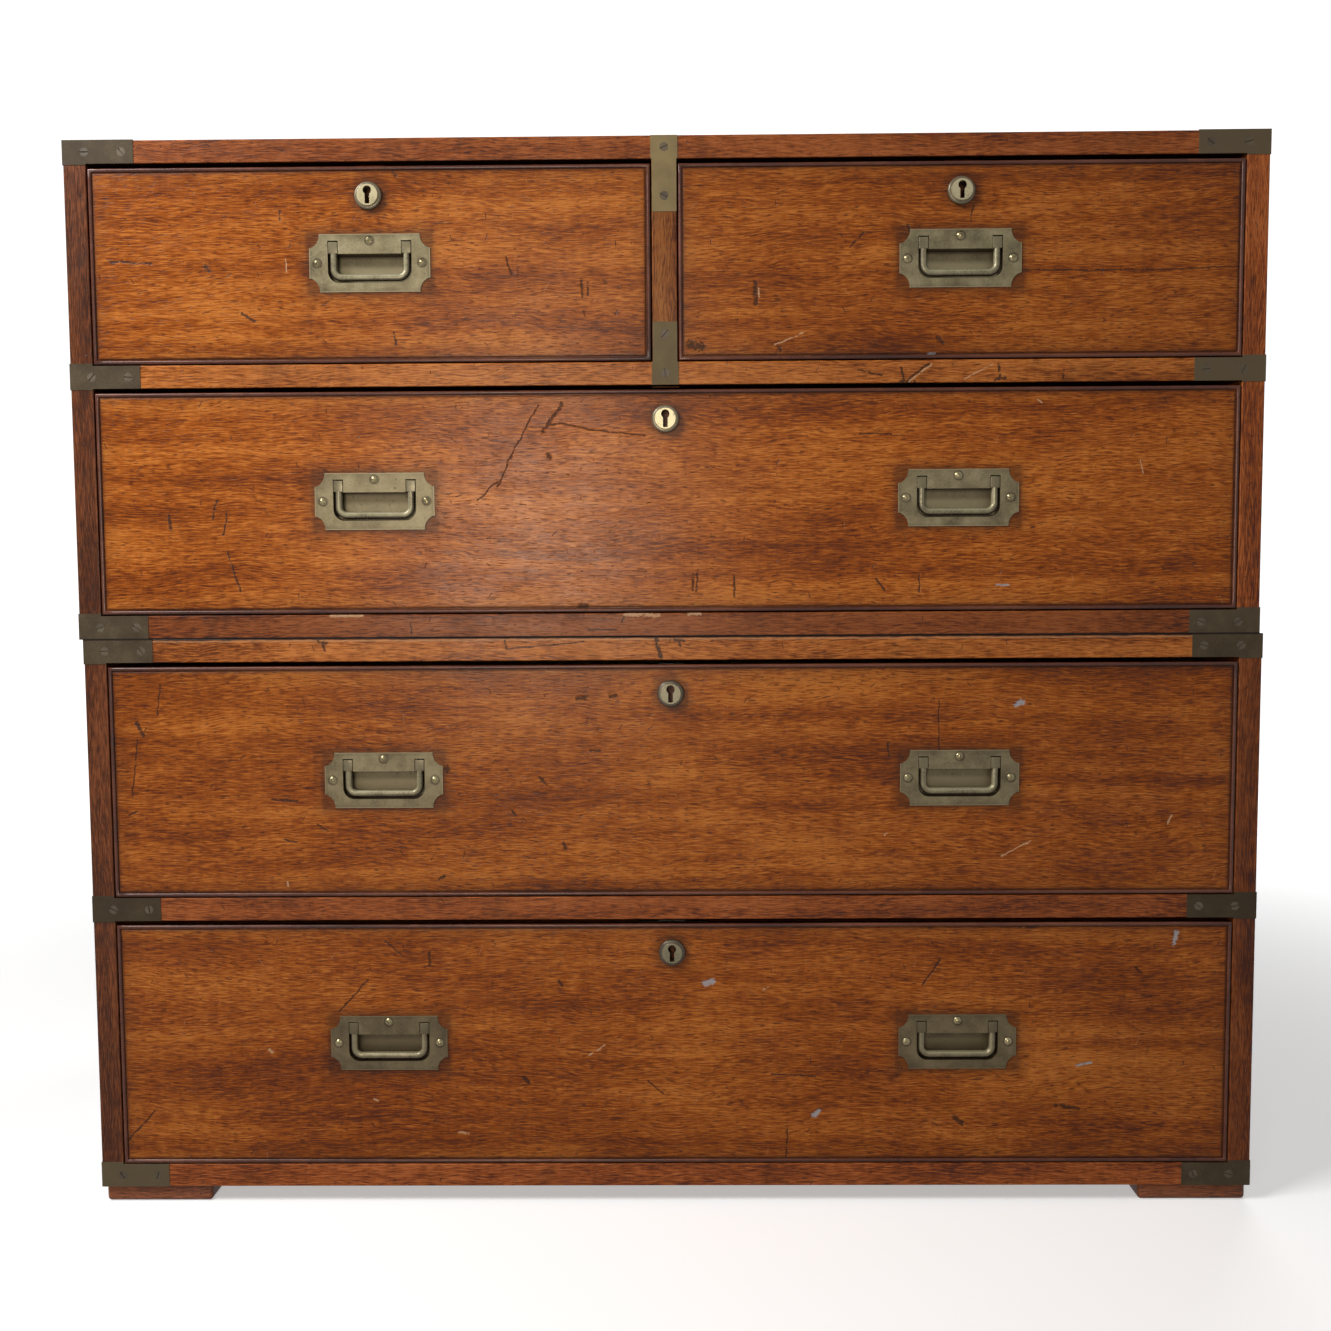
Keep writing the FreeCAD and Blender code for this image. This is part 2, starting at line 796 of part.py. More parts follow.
def keyhole(drawer, y_end):
    """The space of a keyhole from in front of the nozzle to the inside of the lock."""
    y_start = y_front - nozzle_proud - overrun
    half_slot = keyhole_slot_width / 2
    low = drawer.lock_z - keyhole_height / 2
    head_z = drawer.lock_z + keyhole_height / 2 - keyhole_diameter / 2
    start = vector(drawer.middle, y_start, head_z)
    head = Part.makeCylinder(keyhole_diameter / 2, y_end - y_start, start, vector(0, 1, 0))
    slot = block(drawer.middle - half_slot, drawer.middle + half_slot, y_start, y_end, low, head_z)
    return joined([head, slot])


def nozzle(drawer):
    """The round nozzle seen on the front and its neck through the wood, along Y."""
    base = nozzle_base_diameter / 2
    ring = nozzle_ring_diameter / 2
    face = nozzle_face_diameter / 2
    neck = nozzle_neck_diameter / 2
    neck_length = y_lock - y_front
    shoulder_low = vector(base, 0, -nozzle_base_height)
    shoulder_high = vector(ring, 0, -nozzle_ring_height)
    shoulder = (shoulder_low + shoulder_high) / 2 + vector(nozzle_bulge, 0, -nozzle_bulge)
    corners = [(ring, -nozzle_ring_height), (face, -nozzle_ring_height), (face, -nozzle_proud)]
    corners += [(0, -nozzle_proud), (0, neck_length), (neck, neck_length), (neck, 0), (base, 0)]
    corners.append((base, -nozzle_base_height))
    points = [vector(radius, 0, height) for radius, height in corners]
    section = [line(start, end) for start, end in zip(points, points[1:])]
    section.append(arc(shoulder_low, shoulder, shoulder_high))
    solid = Part.Face(Part.Wire(section)).revolve(vector(0, 0, 0), vector(0, 0, 1), 360)
    return aimed(solid, vector(drawer.middle, y_front, drawer.lock_z), vector(0, 1, 0), 0)


def lock_block(drawer):
    half = lock_width / 2
    return block(drawer.middle - half, drawer.middle + half, y_lock, y_front_rear,
                 drawer.high - lock_height, drawer.high)


def bolt_faces():
    """Front and rear of the bolt, in the middle of the lock's depth."""
    middle = y_front_rear - lock_depth / 2
    return middle - bolt_thickness / 2, middle + bolt_thickness / 2


def lock(drawer):
    """The lock case with its nozzle, keyhole, hollow inside and slot for the bolt."""
    half = lock_width / 2 - lock_wall
    hollow = block(drawer.middle - half, drawer.middle + half, y_lock + lock_wall, y_front_rear - lock_wall,
                   drawer.high - lock_height + lock_wall, drawer.high - lock_wall)
    y_low, y_high = bolt_faces()
    half_slot = bolt_width / 2 + bolt_clearance
    slot = block(drawer.middle - half_slot, drawer.middle + half_slot, y_low - bolt_clearance,
                 y_high + bolt_clearance, drawer.high - lock_wall - overrun, drawer.high + overrun)
    outside = joined([lock_block(drawer), nozzle(drawer)])
    return outside.cut([hollow, slot, keyhole(drawer, y_lock + lock_wall + overrun)])


def lock_bolt(drawer):
    """The bolt: a wide body inside the lock and a head that rises through its slot."""
    y_low, y_high = bolt_faces()
    body_high = drawer.high - lock_wall - bolt_throw - bolt_clearance
    half_body = bolt_body_width / 2
    half_head = bolt_width / 2
    return joined([
        block(drawer.middle - half_body, drawer.middle + half_body, y_low, y_high,
              body_high - bolt_body_height, body_high),
        block(drawer.middle - half_head, drawer.middle + half_head, y_low, y_high, body_high, drawer.high),
    ])


def bolt_mortise(drawer):
    """The pocket over a drawer that takes its thrown bolt."""
    y_low, y_high = bolt_faces()
    half = bolt_width / 2 + mortise_clearance
    top = drawer.high + bolt_throw + mortise_clearance
    return block(drawer.middle - half, drawer.middle + half, y_low - mortise_clearance,
                 y_high + mortise_clearance, drawer.roof - overrun, top)


# Whole pieces by name

def drawer_pieces(drawer):
    """All nodes of one drawer."""
    back = back_board(drawer)
    panel = bottom_panel(drawer)
    bed = handle_solid(seat_clearance)
    screw_body = dome_screw_body()
    slotted = dome_screw(screw_body)
    inward = vector(0, 1, 0)
    turns = [screw_turn_step * index for index in range(len(plate_screw_points()))]
    bodies = [aimed(screw_body, point, inward, turn) for point, turn in zip(plate_screw_points(), turns)]
    pilot = Part.makeCylinder(dome_shank_diameter / 2 + pilot_clearance, dome_screw_length)
    pilots = [aimed(pilot, point, inward, 0) for point in plate_screw_points()]
    screws = [aimed(slotted, point, inward, turn) for point, turn in zip(plate_screw_points(), turns)]
    plate = handle_plate(handle_solid(0), bodies)
    swinging = bail()
    plates, pieces = [], {}
    tools = front_tails(drawer, -1) + front_tails(drawer, 1) + [panel, lock_block(drawer), nozzle(drawer)]
    name = drawer.name + "_drawer"
    for index, x in enumerate(drawer.handles):
        plates += [moved(shape, x, drawer.handle_z) for shape in [plate] + screws]
        tools += [moved(shape, x, drawer.handle_z) for shape in [bed] + pilots]
        place = ("_left", "_right")[index] if len(drawer.handles) > 1 else ""
        pieces[name + place + "_bail"] = moved(swinging, x, drawer.handle_z)
    front = carve(front_board(drawer), tools)
    pieces[name + "_front"] = group([front] + beads(drawer))
    pieces[name + "_box"] = group(drawer_sides(drawer, back, panel) + [back])
    pieces[name + "_bottom"] = panel
    pieces[name + "_handle_plates"] = group(plates)
    pieces[name + "_lock"] = lock(drawer)
    pieces[name + "_lock_bolt"] = lock_bolt(drawer)
    return pieces


def case_pieces(case):
    """All nodes of one case."""
    straps, screws, sunk = bindings(case)
    planks = back_planks(case)
    rail = drawer_rail(case)
    mortises = [bolt_mortise(drawer) for drawer in drawer_list(case)]
    tools = sunk + mortises
    post_tools = [post(case)] if case is upper else []
    peg_tools = peg_holes() if case is upper else pegs()
    pieces = {
        "side_left": carve(case_side(case, -1), sunk + planks + [rail]),
        "side_right": carve(case_side(case, 1), sunk + planks + [rail]),
        "top": carve(case_board(case, case.top_low, case.roof), tools + planks + post_tools + peg_tools),
        "bottom": carve(case_board(case, case.floor, case.low_bay), sunk + planks + peg_tools),
        "drawer_rail": carve(eased(rail), tools),
        "runners": group(runners(case)),
        "back": group([carve(plank, sunk) for plank in planks]),
        "corner_brackets": group(straps),
        "bracket_screws": group(screws),
    }
    if case is upper:
        pieces["post"] = carve(eased(post(case)), sunk)
    return {case.name + "_" + name: piece for name, piece in pieces.items()}


def main():
    pieces = {"feet": group(feet()), "locating_pegs": group(pegs())}
    for case in (lower, upper):
        pieces.update(case_pieces(case))
        for drawer in drawer_list(case):
            pieces.update(drawer_pieces(drawer))
    os.makedirs("parts", exist_ok=True)
    for name, piece in pieces.items():
        piece.exportStep("parts/" + name + ".step")
        print(name, len(piece.Solids), round(piece.Volume))


if __name__ == "__main__":
    main()
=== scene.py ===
"""Looks of the campaign chest: drawer fronts, beads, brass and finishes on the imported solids.

Metres, in the frame of the solids: Z is up and the front faces -Y.
"""

import json
import math

import bmesh
import bpy
import numpy as np
from mathutils import Matrix, Vector

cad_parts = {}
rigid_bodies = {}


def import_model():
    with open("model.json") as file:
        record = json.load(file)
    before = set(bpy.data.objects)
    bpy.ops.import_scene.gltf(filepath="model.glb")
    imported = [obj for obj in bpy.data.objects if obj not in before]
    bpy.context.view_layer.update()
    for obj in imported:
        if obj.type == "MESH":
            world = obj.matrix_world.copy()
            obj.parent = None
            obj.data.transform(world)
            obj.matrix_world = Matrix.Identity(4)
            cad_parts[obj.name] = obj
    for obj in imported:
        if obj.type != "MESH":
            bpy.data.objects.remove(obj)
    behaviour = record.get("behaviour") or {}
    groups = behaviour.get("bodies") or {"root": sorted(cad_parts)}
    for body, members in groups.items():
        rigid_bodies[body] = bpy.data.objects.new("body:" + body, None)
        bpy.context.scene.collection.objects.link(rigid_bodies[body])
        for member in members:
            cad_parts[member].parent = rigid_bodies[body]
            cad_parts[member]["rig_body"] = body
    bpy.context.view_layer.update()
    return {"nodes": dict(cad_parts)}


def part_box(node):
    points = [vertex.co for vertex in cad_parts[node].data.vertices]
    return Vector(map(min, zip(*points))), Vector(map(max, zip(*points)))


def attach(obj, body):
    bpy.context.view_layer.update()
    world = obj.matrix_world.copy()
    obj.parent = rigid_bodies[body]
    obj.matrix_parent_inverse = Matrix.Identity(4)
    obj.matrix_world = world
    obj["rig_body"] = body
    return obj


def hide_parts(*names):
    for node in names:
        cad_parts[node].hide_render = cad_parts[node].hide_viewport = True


bl_info = {
    "name": "Campaign chest looks",
    "version": (1, 0, 0),
    "blender": (4, 5, 0),
    "location": "View3D > Sidebar > Chest",
    "description": "Dresses the packed solids of a campaign chest: drawer fronts, beads, brass and finishes",
    "category": "Object",
}

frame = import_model()

# How light each drawer's wood, handle plates and lock are
DRAWERS = {
    "bottom": (1.01, 0.30, 0.36),
    "third": (1.0, 0.42, 0.39),
    "second": (1.12, 0.47, 1.15),
    "top_left": (1.04, 0.53, 0.95),
    "top_right": (0.98, 0.50, 0.82),
}
CASES = ("lower", "upper")
MM = 0.001
SHARP_ANGLE = math.radians(32.0)
WOOD_GLOSS = {"Specular IOR Level": 0.15}
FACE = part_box("upper_post")[0].y
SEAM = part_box("upper_bottom")[0].z
CASE_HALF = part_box("upper_bottom")[1].x
CASE_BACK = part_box("upper_back")[1].y
CASE_DEPTH = CASE_BACK - FACE
CASE_MIDDLE = (CASE_BACK + FACE) / 2.0
PLATE_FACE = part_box("second_drawer_left_bail")[0].y
NOZZLE_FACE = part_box("second_drawer_lock")[0].y

# Handle plates, from the middle of a plate
PLATE_HALF = 50.5 * MM
PLATE_RISE = 23.8 * MM
POCKET_HALF = 38.0 * MM
POCKET_LOW = -18.5 * MM
POCKET_HIGH = 21.2 * MM
POCKET_DEPTH = 15.0 * MM
PIVOT_RISE = 12.9 * MM
PIVOT_DEPTH = 2.7 * MM
LEG_OFFSET = 30.7 * MM
BAR_DROP = 11.6 * MM
BEND_RADIUS = 7.0 * MM
LUG_HALF = 3.9 * MM
LUG_DROP = 5.0 * MM
LUG_RISE = 4.6 * MM
LUG_EDGE = 0.5 * MM
PIN_HALF = 5.5 * MM
PIN_RADIUS = 1.5 * MM
SCREW_CLEAR = 3.52 * MM
PLATE_SCREWS = ((0.0, 18.4 * MM), (-43.8 * MM, 0.0), (43.8 * MM, 0.0))

# Locks
NOZZLE_DROP = 24.7 * MM
NECK_HALF = 7.6 * MM
NECK_DEPTH = 7.0 * MM

# Height of the darkest brackets, at the rail of the lower case
DARK_BRACKETS = 258.0 * MM

# Tone of the handles whose brass is still yellow
YELLOW_TONE = 0.53

# Old marks on fronts and rails: x and z of one end, the way to the other and a half width, in millimetres
MARKS = {
    "top_left_drawer": {
        "dark": [(-385, 805, 3, -3, 1.8), (-355, 766, 10, -6, 1.1), (-228, 749, 1, -8, 1.0),
                 (-71, 791, 1, -13, 0.9), (-66, 790, 1, -11, 0.8), (-322, 851, 1, -9, 0.6),
                 (-134, 812, 5, -15, 0.7), (-465, 810, 35, -2, 0.9), (-228, 883, 4, -5, 0.9)],
        "pale": [(-318, 811, 1, -11, 0.5)],
    },
    "top_right_drawer": {
        "dark": [(74, 789, 0, -18, 1.5), (20, 738, 9, -2, 3.4), (292, 797, 93, -1, 0.5),
                 (385, 796, 91, 2, 0.5), (153, 817, 11, 11, 0.7), (94, 735, 1, -2, 1.3),
                 (226, 742, 4, -4, 1.6), (200, 835, 4, -9, 1.2), (255, 849, -3, -11, 0.8)],
        "pale": [(90, 737, 24, 10, 0.6), (76, 784, 1, -7, 0.7), (258, 790, 4, 6, 0.5)],
        "paint": [(218, 729, 5, 0, 1.0), (206, 727, 3, 0, 0.9)],
    },
    "second_drawer": {
        "dark": [(-88, 690, -16, -23, 1.3), (-102, 671, 12, 3, 0.7), (-90, 674, 25, -6, 0.6),
                 (-65, 668, 46, -5, 0.6), (-108, 689, -23, -41, 0.6), (-131, 648, -12, -27, 0.6),
                 (-140, 628, -20, -18, 0.6), (-101, 648, 2, -2, 1.5), (21, 546, 0, -13, 0.9),
                 (25, 547, -1, -15, 0.8), (56, 544, 0, -17, 0.8), (176, 541, 7, -9, 0.9),
                 (212, 545, 0, -15, 0.7), (-75, 520, 6, 0, 1.8), (161, 663, 26, 0, 0.6),
                 (-381, 611, -4, -16, 0.8), (-373, 599, -3, -17, 0.7), (-373, 567, 10, -33, 0.8),
                 (-422, 599, 1, -11, 1.2)],
        "pale": [(396, 640, 2, -11, 0.5), (310, 690, 3, -2, 0.6)],
        "paint": [(277, 536, 10, 0, 0.8)],
    },
    "third_drawer": {
        "dark": [(-78, 442, 7, 0, 2.1), (-50, 443, 5, 1, 1.4), (-434, 455, -3, -26, 0.6),
                 (-455, 408, -6, -49, 0.6), (-340, 356, 21, -2, 1.0), (-464, 343, 7, 3, 0.9),
                 (-331, 321, 11, -2, 0.8), (-302, 334, 9, -6, 0.7), (-111, 374, 6, -6, 1.2),
                 (-135, 345, 4, -4, 0.9), (-92, 318, 3, -6, 1.3), (-68, 397, 10, -1, 0.8),
                 (-198, 286, 5, 3, 1.0), (229, 439, 1, -43, 0.5), (186, 403, 1, -12, 0.8),
                 (-190, 384, 0, -4, 1.8), (-456, 425, 6, -13, 1.6)],
        "pale": [(283, 305, 26, 12, 0.6), (424, 332, 4, 7, 0.7), (-330, 285, 1, -4, 0.8),
                 (184, 323, 2, 1, 0.7)],
        "paint": [(295, 434, 5, 3, 2.0)],
    },
    "bottom_drawer": {
        "dark": [(-287, 170, 25, 28, 0.6), (-246, 232, 16, -14, 0.6), (-208, 222, 0, -11, 1.1),
                 (-96, 196, 2, -3, 1.5), (-128, 112, 4, -5, 1.7), (-480, 50, 30, 32, 0.7),
                 (87, 114, 38, -2, 0.7), (217, 193, 15, 21, 0.8), (243, 246, 7, -3, 0.8),
                 (246, 75, 6, -5, 2.2), (332, 86, 20, -3, 1.4), (400, 207, 4, -4, 1.0),
                 (100, 40, 1, 26, 0.6), (300, 242, 17, 1, 0.8), (-6, 96, -14, 12, 0.6)],
        "pale": [(-71, 131, 14, 9, 0.6), (-349, 137, 2, -2, 1.4), (-185, 63, 8, -1, 0.9),
                 (-258, 92, 3, -1, 0.8), (80, 188, 4, 3, 0.6)],
        "paint": [(30, 194, 6, 2, 2.2), (124, 78, 4, 3, 2.0), (432, 227, 2, 11, 1.6),
                  (350, 121, 13, 2, 1.0)],
    },
    "upper_drawer_rail": {
        "dark": [(199, 706, 20, 15, 0.9), (197, 708, -1, 9, 1.0), (195, 706, 11, 0, 1.8),
                 (277, 720, 1, -13, 1.0), (274, 707, 9, 1, 1.2), (331, 715, -1, -7, 0.8),
                 (160, 716, 20, -5, 0.7)],
        "pale": [(202, 706, 19, 14, 0.6), (248, 708, 24, 12, 0.5)],
    },
    "upper_bottom": {
        "dark": [(-68, 500, 24, 0, 0.7), (-219, 508, 1, -11, 0.6), (-37, 512, -2, -6, 0.7)],
        "pale": [(-287, 513, 27, 0, 1.1), (-37, 513, 29, -1, 1.3), (17, 513, 10, 0, 1.0)],
    },
    "lower_top": {
        "dark": [(-10, 492, 3, -15, 1.6), (5, 491, 8, -1, 1.3), (9, 490, 1, -4, 1.0),
                 (-297, 491, 6, -1, 1.5), (-294, 490, 1, -6, 1.2), (-139, 491, 1, -7, 0.8),
                 (-137, 484, 65, 6, 0.6)],
    },
}

# Dark, middle and light tone of each finish, in linear light
PALETTES = {
    "front": ("drawer fronts", (0.105, 0.018, 0.001), (0.330, 0.077, 0.005), (0.575, 0.190, 0.032)),
    "case": ("case boards", (0.048, 0.013, 0.005), (0.120, 0.033, 0.010), (0.230, 0.070, 0.023)),
    "rail": ("rails", (0.130, 0.030, 0.005), (0.380, 0.108, 0.018), (0.560, 0.195, 0.045)),
    "red": ("redder boards", (0.080, 0.018, 0.007), (0.255, 0.062, 0.012), (0.400, 0.120, 0.034)),
    "bead": ("beads", (0.036, 0.007, 0.003), (0.086, 0.019, 0.006), (0.180, 0.056, 0.026)),
    "plate": ("handle plates", (0.120, 0.085, 0.040), (0.310, 0.260, 0.140), (0.520, 0.450, 0.270)),
    "bracket": ("brackets", (0.034, 0.023, 0.013), (0.071, 0.052, 0.031), (0.138, 0.104, 0.062)),
}
TONES = ("dark", "middle", "light")


def amount(name, description, value, **kind):
    """A number that a user may change."""
    return bpy.props.FloatProperty(name=name, description=description, default=value, **kind)


def length(name, description, millimetres):
    """A length that a user may change, given in millimetres."""
    return amount(name, description, millimetres * MM, unit="LENGTH")


def shade(name, description, colour):
    """A colour that a user may change, in linear light."""
    return bpy.props.FloatVectorProperty(
        name=name, description=description, default=colour, subtype="COLOR", size=3, min=0.0, max=1.0)


class ChestSizes(bpy.types.PropertyGroup):
    """Small sizes of the dressed pieces."""

    bead_width: length("Bead width", "Width of the bead round a drawer front", 3.4)
    bead_proud: length("Bead height", "How far the bead stands in front of the drawer front", 0.6)
    bead_depth: length("Bead depth", "How deep the bead is let into the edge", 6.0)
    quirk_width: length("Quirk width", "Width of the groove beside the bead", 0.9)
    quirk_depth: length("Quirk depth", "Depth of the groove beside the bead", 1.0)
    waviness: length("Waviness", "How far a hand-planed front swells and dips", 0.22)
    rod_diameter: length("Bail rod", "Diameter of a bail's rod", 6.0)
    dome_radius: length("Domed screw", "Radius of the handle screws' heads", 3.45)
    dome_height: length("Dome height", "Height of the handle screws' heads", 1.9)
    screw_edge: length("Screw edge", "Rounding of the edges of the flat screws", 0.3)
    slot_width: length("Screw slot", "Width of a screw's slot", 0.9)
    foot_edge: length("Foot edge", "Rounding of the worn edges of the feet", 3.5)
    brass_edge: length("Brass edge", "Rounding of the edges of plates and brackets", 0.35)


class ChestColours(bpy.types.PropertyGroup):
    """Colours of the finishes."""

    lining: shade("Lining", "Middle tone of the drawer boxes and the pegs", (0.300, 0.150, 0.062))
    # This colour is dirt on the wood and brass, and also painted shade in the hollows of the brass, round its
    # screws and on the outside of the bails
    grime_and_shade: shade("Grime", "Old polish and dirt in hollows and round the brass", (0.022, 0.008, 0.004))
    # This colour is dirt in the joints, and also painted shade in the gaps over the drawers, down the beads'
    # quirks and in the keyholes
    soot_and_shade: shade("Soot", "Black dirt in the joints", (0.008, 0.004, 0.003))
    paint: shade("Paint", "Flecks of pale paint on the fronts", (0.420, 0.430, 0.460))
    # This pale wood is also a painted highlight along the edge just under the joint of the cases
    scratch_and_highlight: shade("Scratch", "Pale wood where the polish is scratched through", (0.660, 0.400, 0.220))
    strap: shade("Strap", "Brass of the straps on the post", (0.260, 0.195, 0.092))
    steel: shade("Steel", "Lock bolts", (0.300, 0.285, 0.260))


for kind, (pieces, *tones) in PALETTES.items():
    for tone, colour in zip(TONES, tones):
        tip = f"The {tone} tone of the {pieces}"
        ChestColours.__annotations__[kind + "_" + tone] = shade(f"{kind.capitalize()}, {tone}", tip, colour)


class ChestStage(bpy.types.PropertyGroup):
    """Camera, floor and light."""

    lens: amount("Lens", "Focal length on a 36 mm sensor", 35.16, unit="CAMERA")
    pitch: amount("Pitch", "How far the camera looks down", math.radians(3.805), subtype="ANGLE")
    yaw: amount("Yaw", "How far the camera is turned", math.radians(0.578), subtype="ANGLE")
    roll: amount("Roll", "How far the camera is tilted", math.radians(-0.348), subtype="ANGLE")
    eye: bpy.props.FloatVectorProperty(name="Eye", description="Where the camera stands",
                                       default=(0.0084, -1.32895, 0.5426), subtype="TRANSLATION")
    floor: shade("Floor", "Colour of the floor and backdrop", (0.80, 0.80, 0.80))
    floor_shade: shade("Floor bounce", "Colour that the floor throws back on the chest", (0.20, 0.19, 0.18))
    key_power: amount("Key light", "Power of the main soft light", 35.0, subtype="POWER")
    sheen_power: amount("Sheen light", "Power of the light behind the camera", 5.5, subtype="POWER")
    back_power: amount("Back light", "Power of the soft light behind the chest", 14.0, subtype="POWER")
    fill: amount("Fill light", "Strength of the light from all round", 0.09, min=0.0)


# Shader maths

def math_node(operation, swapped=False):
    """A method that adds one Math node after a tone, or before it where swapped."""
    def method(self, other=0.0):
        sides = (other, self) if swapped else (self, other)
        return self.finish.make("ShaderNodeMath", {"operation": operation}, dict(enumerate(sides)))
    return method


class Tone:
    """A value on a surface; sums and products of tones add Math nodes to the finish."""

    def __init__(self, finish, socket):
        self.finish = finish
        self.socket = socket

    __add__ = math_node("ADD")
    __radd__ = math_node("ADD", True)
    __sub__ = math_node("SUBTRACT")
    __rsub__ = math_node("SUBTRACT", True)
    __mul__ = math_node("MULTIPLY")
    __rmul__ = math_node("MULTIPLY", True)
    __truediv__ = math_node("DIVIDE")
    __abs__ = math_node("ABSOLUTE")
    below = math_node("LESS_THAN")
    least = math_node("MINIMUM")
    most = math_node("MAXIMUM")
    floor = math_node("FLOOR")
    sine = math_node("SINE")
    cosine = math_node("COSINE")
    root = math_node("SQRT")


class Finish:
    """A material in the making: a Principled shader, its colour so far and the nodes that feed it."""

    def __init__(self, name, constants):
        self.material = bpy.data.materials.new(name)
        self.material.use_nodes = True
        self.tree = self.material.node_tree
        self.shader = self.tree.nodes["Principled BSDF"]
        for socket, value in constants.items():
            self.shader.inputs[socket].default_value = value

    def make(self, kind, settings=None, sockets=None, output=0):
        """A new node: its settings first, then the values or links of its sockets."""
        node = self.tree.nodes.new(kind)
        for key, value in (settings or {}).items():
            if key == "stops":
                set_stops(node.color_ramp, value)
            else:
                setattr(node, key, value)
        for key, value in (sockets or {}).items():
            if isinstance(value, Tone):
                self.tree.links.new(value.socket, node.inputs[key])
            else:
                node.inputs[key].default_value = value
        return Tone(self, node.outputs[output])

    def feed(self, socket, tone):
        self.tree.links.new(tone.socket, self.shader.inputs[socket])

    def split(self, vector):
        """The three values of a vector or colour."""
        node = self.make("ShaderNodeSeparateXYZ", None, {0: vector}).socket.node
        return [Tone(self, socket) for socket in node.outputs]

    def place(self, offset=(0.0, 0.0, 0.0)):
        """The place on the piece in millimetres, moved by an offset."""
        spot = self.make("ShaderNodeTexCoord", output=3)
        moved = self.make("ShaderNodeMapping", {"vector_type": "POINT"},
                          {"Vector": spot, "Location": offset, "Scale": (1.0 / MM,) * 3})
        return self.split(moved)

    def joined(self, x, y, z):
        return self.make("ShaderNodeCombineXYZ", None, {0: x, 1: y, 2: z})

    def noise(self, x, y, z, detail=2.0, rough=0.5):
        """Smooth noise from 0 to 1 with features about one unit across."""
        return self.make("ShaderNodeTexNoise", {"noise_dimensions": "3D"},
                         {"Vector": self.joined(x, y, z), "Scale": 1.0, "Detail": detail, "Roughness": rough})

    def step(self, value, low, high):
        """0 below low, 1 above high and smooth between; falls where low is above high."""
        return self.make("ShaderNodeMapRange", {"interpolation_type": "SMOOTHSTEP"},
                         {0: value, 1: low, 2: high, 3: 0.0, 4: 1.0})

    def mix(self, factor, first, second):
        """One colour over another by a factor."""
        sides = {0: factor, 6: opaque(first), 7: opaque(second)}
        return self.make("ShaderNodeMix", {"data_type": "RGBA"}, sides, 2)

    def ramp(self, value, positions, shades):
        """Starts the colour with a ramp over a value, a shade at each position."""
        stops = list(zip(positions, shades))
        self.colour = self.make("ShaderNodeValToRGB", {"stops": stops}, {0: value})

    def cover(self, share, ink):
        """Lays an ink over a share of the colour."""
        self.colour = self.mix(share, self.colour, ink)

    def done(self, rough, height, depth):
        """The material, with its roughness and a height of 0 to about 1 that stands for a depth in metres."""
        bump = {"Strength": 1.0, "Distance": depth, "Height": height}
        self.feed("Base Color", self.colour)
        self.feed("Roughness", rough)
        self.feed("Normal", self.make("ShaderNodeBump", None, bump))
        return self.material


class Sky(Finish):
    """The light from all round in the making: white, with the nodes that feed its strength."""

    def __init__(self, name):
        self.world = bpy.data.worlds.new(name)
        self.world.use_nodes = True
        self.tree = self.world.node_tree
        self.shader = self.tree.nodes["Background"]
        self.shader.inputs["Color"].default_value = (1.0, 1.0, 1.0, 1.0)


def seen_rays(finish):
    """1 for rays from the camera, from reflections and through glass, and 0 for scattered light."""
    path = finish.make("ShaderNodeLightPath").socket.node
    rays = [Tone(finish, path.outputs[name])
            for name in ("Is Camera Ray", "Is Glossy Ray", "Is Transmission Ray")]
    return rays[0].most(rays[1]).most(rays[2])


def distance(right, up):
    """The length of a line that goes so far right and so far up."""
    return (right * right + up * up).root()


def opaque(colour):
    """A colour with its alpha, or the tone it already is."""
    return colour if isinstance(colour, Tone) else (*colour[:3], 1.0)


def set_stops(ramp, stops):
    """Gives a colour ramp its stops, each a position and a colour."""
    while len(ramp.elements) < len(stops):
        ramp.elements.new(1.0)
    for element, (position, colour) in zip(ramp.elements, stops):
        element.position = position
        element.color = opaque(colour)


# Finishes

def colours():
    return bpy.context.scene.chest_colours


def palette(kind):
    """The dark, middle and light tone of a finish."""
    return np.array([getattr(colours(), kind + "_" + tone) for tone in TONES])


def sizes():
    return bpy.context.scene.chest_sizes


class Grain:
    """Bands, streaks, fibres, pores and cross figure of a board whose grain runs along one axis."""

    def __init__(self, finish, grain, offset):
        x, y, z = finish.place(offset)
        along, across, deep = {"x": (x, z, y), "y": (y, x, z), "z": (z, x, y)}[grain]
        bend = finish.noise(along / 240.0, across / 85.0, deep / 85.0, 3.0, 0.6) - 0.5
        curl = finish.noise(along / 45.0, across / 22.0, deep / 22.0, 1.0) - 0.5
        u = across + bend * 26.0 + curl * 3.0
        w = deep + bend * 10.0
        self.x, self.y, self.z = x, y, z
        self.bands = finish.noise(along / 480.0, u / 16.0, w / 16.0, 1.5, 0.45)
        self.streaks = finish.noise(along / 52.0, u / 3.4, w / 3.4, 2.0)
        self.fibres = finish.noise(along / 12.0, u / 0.85, w / 0.85, 2.0, 0.6)
        self.pores = finish.step(finish.noise(along / 6.5, u / 1.05 + 31.0, w / 1.05, 0.0), 0.62, 0.78)
        self.ripple = finish.noise(along / 3.2, u / 20.0, w / 20.0, 1.0)
        self.blotch = finish.noise(along / 130.0, across / 60.0, deep / 60.0, 2.0, 0.6)

    def tone(self):
        """All of them in one value round a half."""
        figure = self.bands * 1.05 + self.streaks * 0.2 + self.blotch * 1.05
        return figure + self.fibres * 2.3 + self.ripple * 0.2 - 1.9

    def height(self):
        return self.fibres * 0.6 + self.streaks * 0.25 + self.ripple * 0.12 - self.pores * 0.6


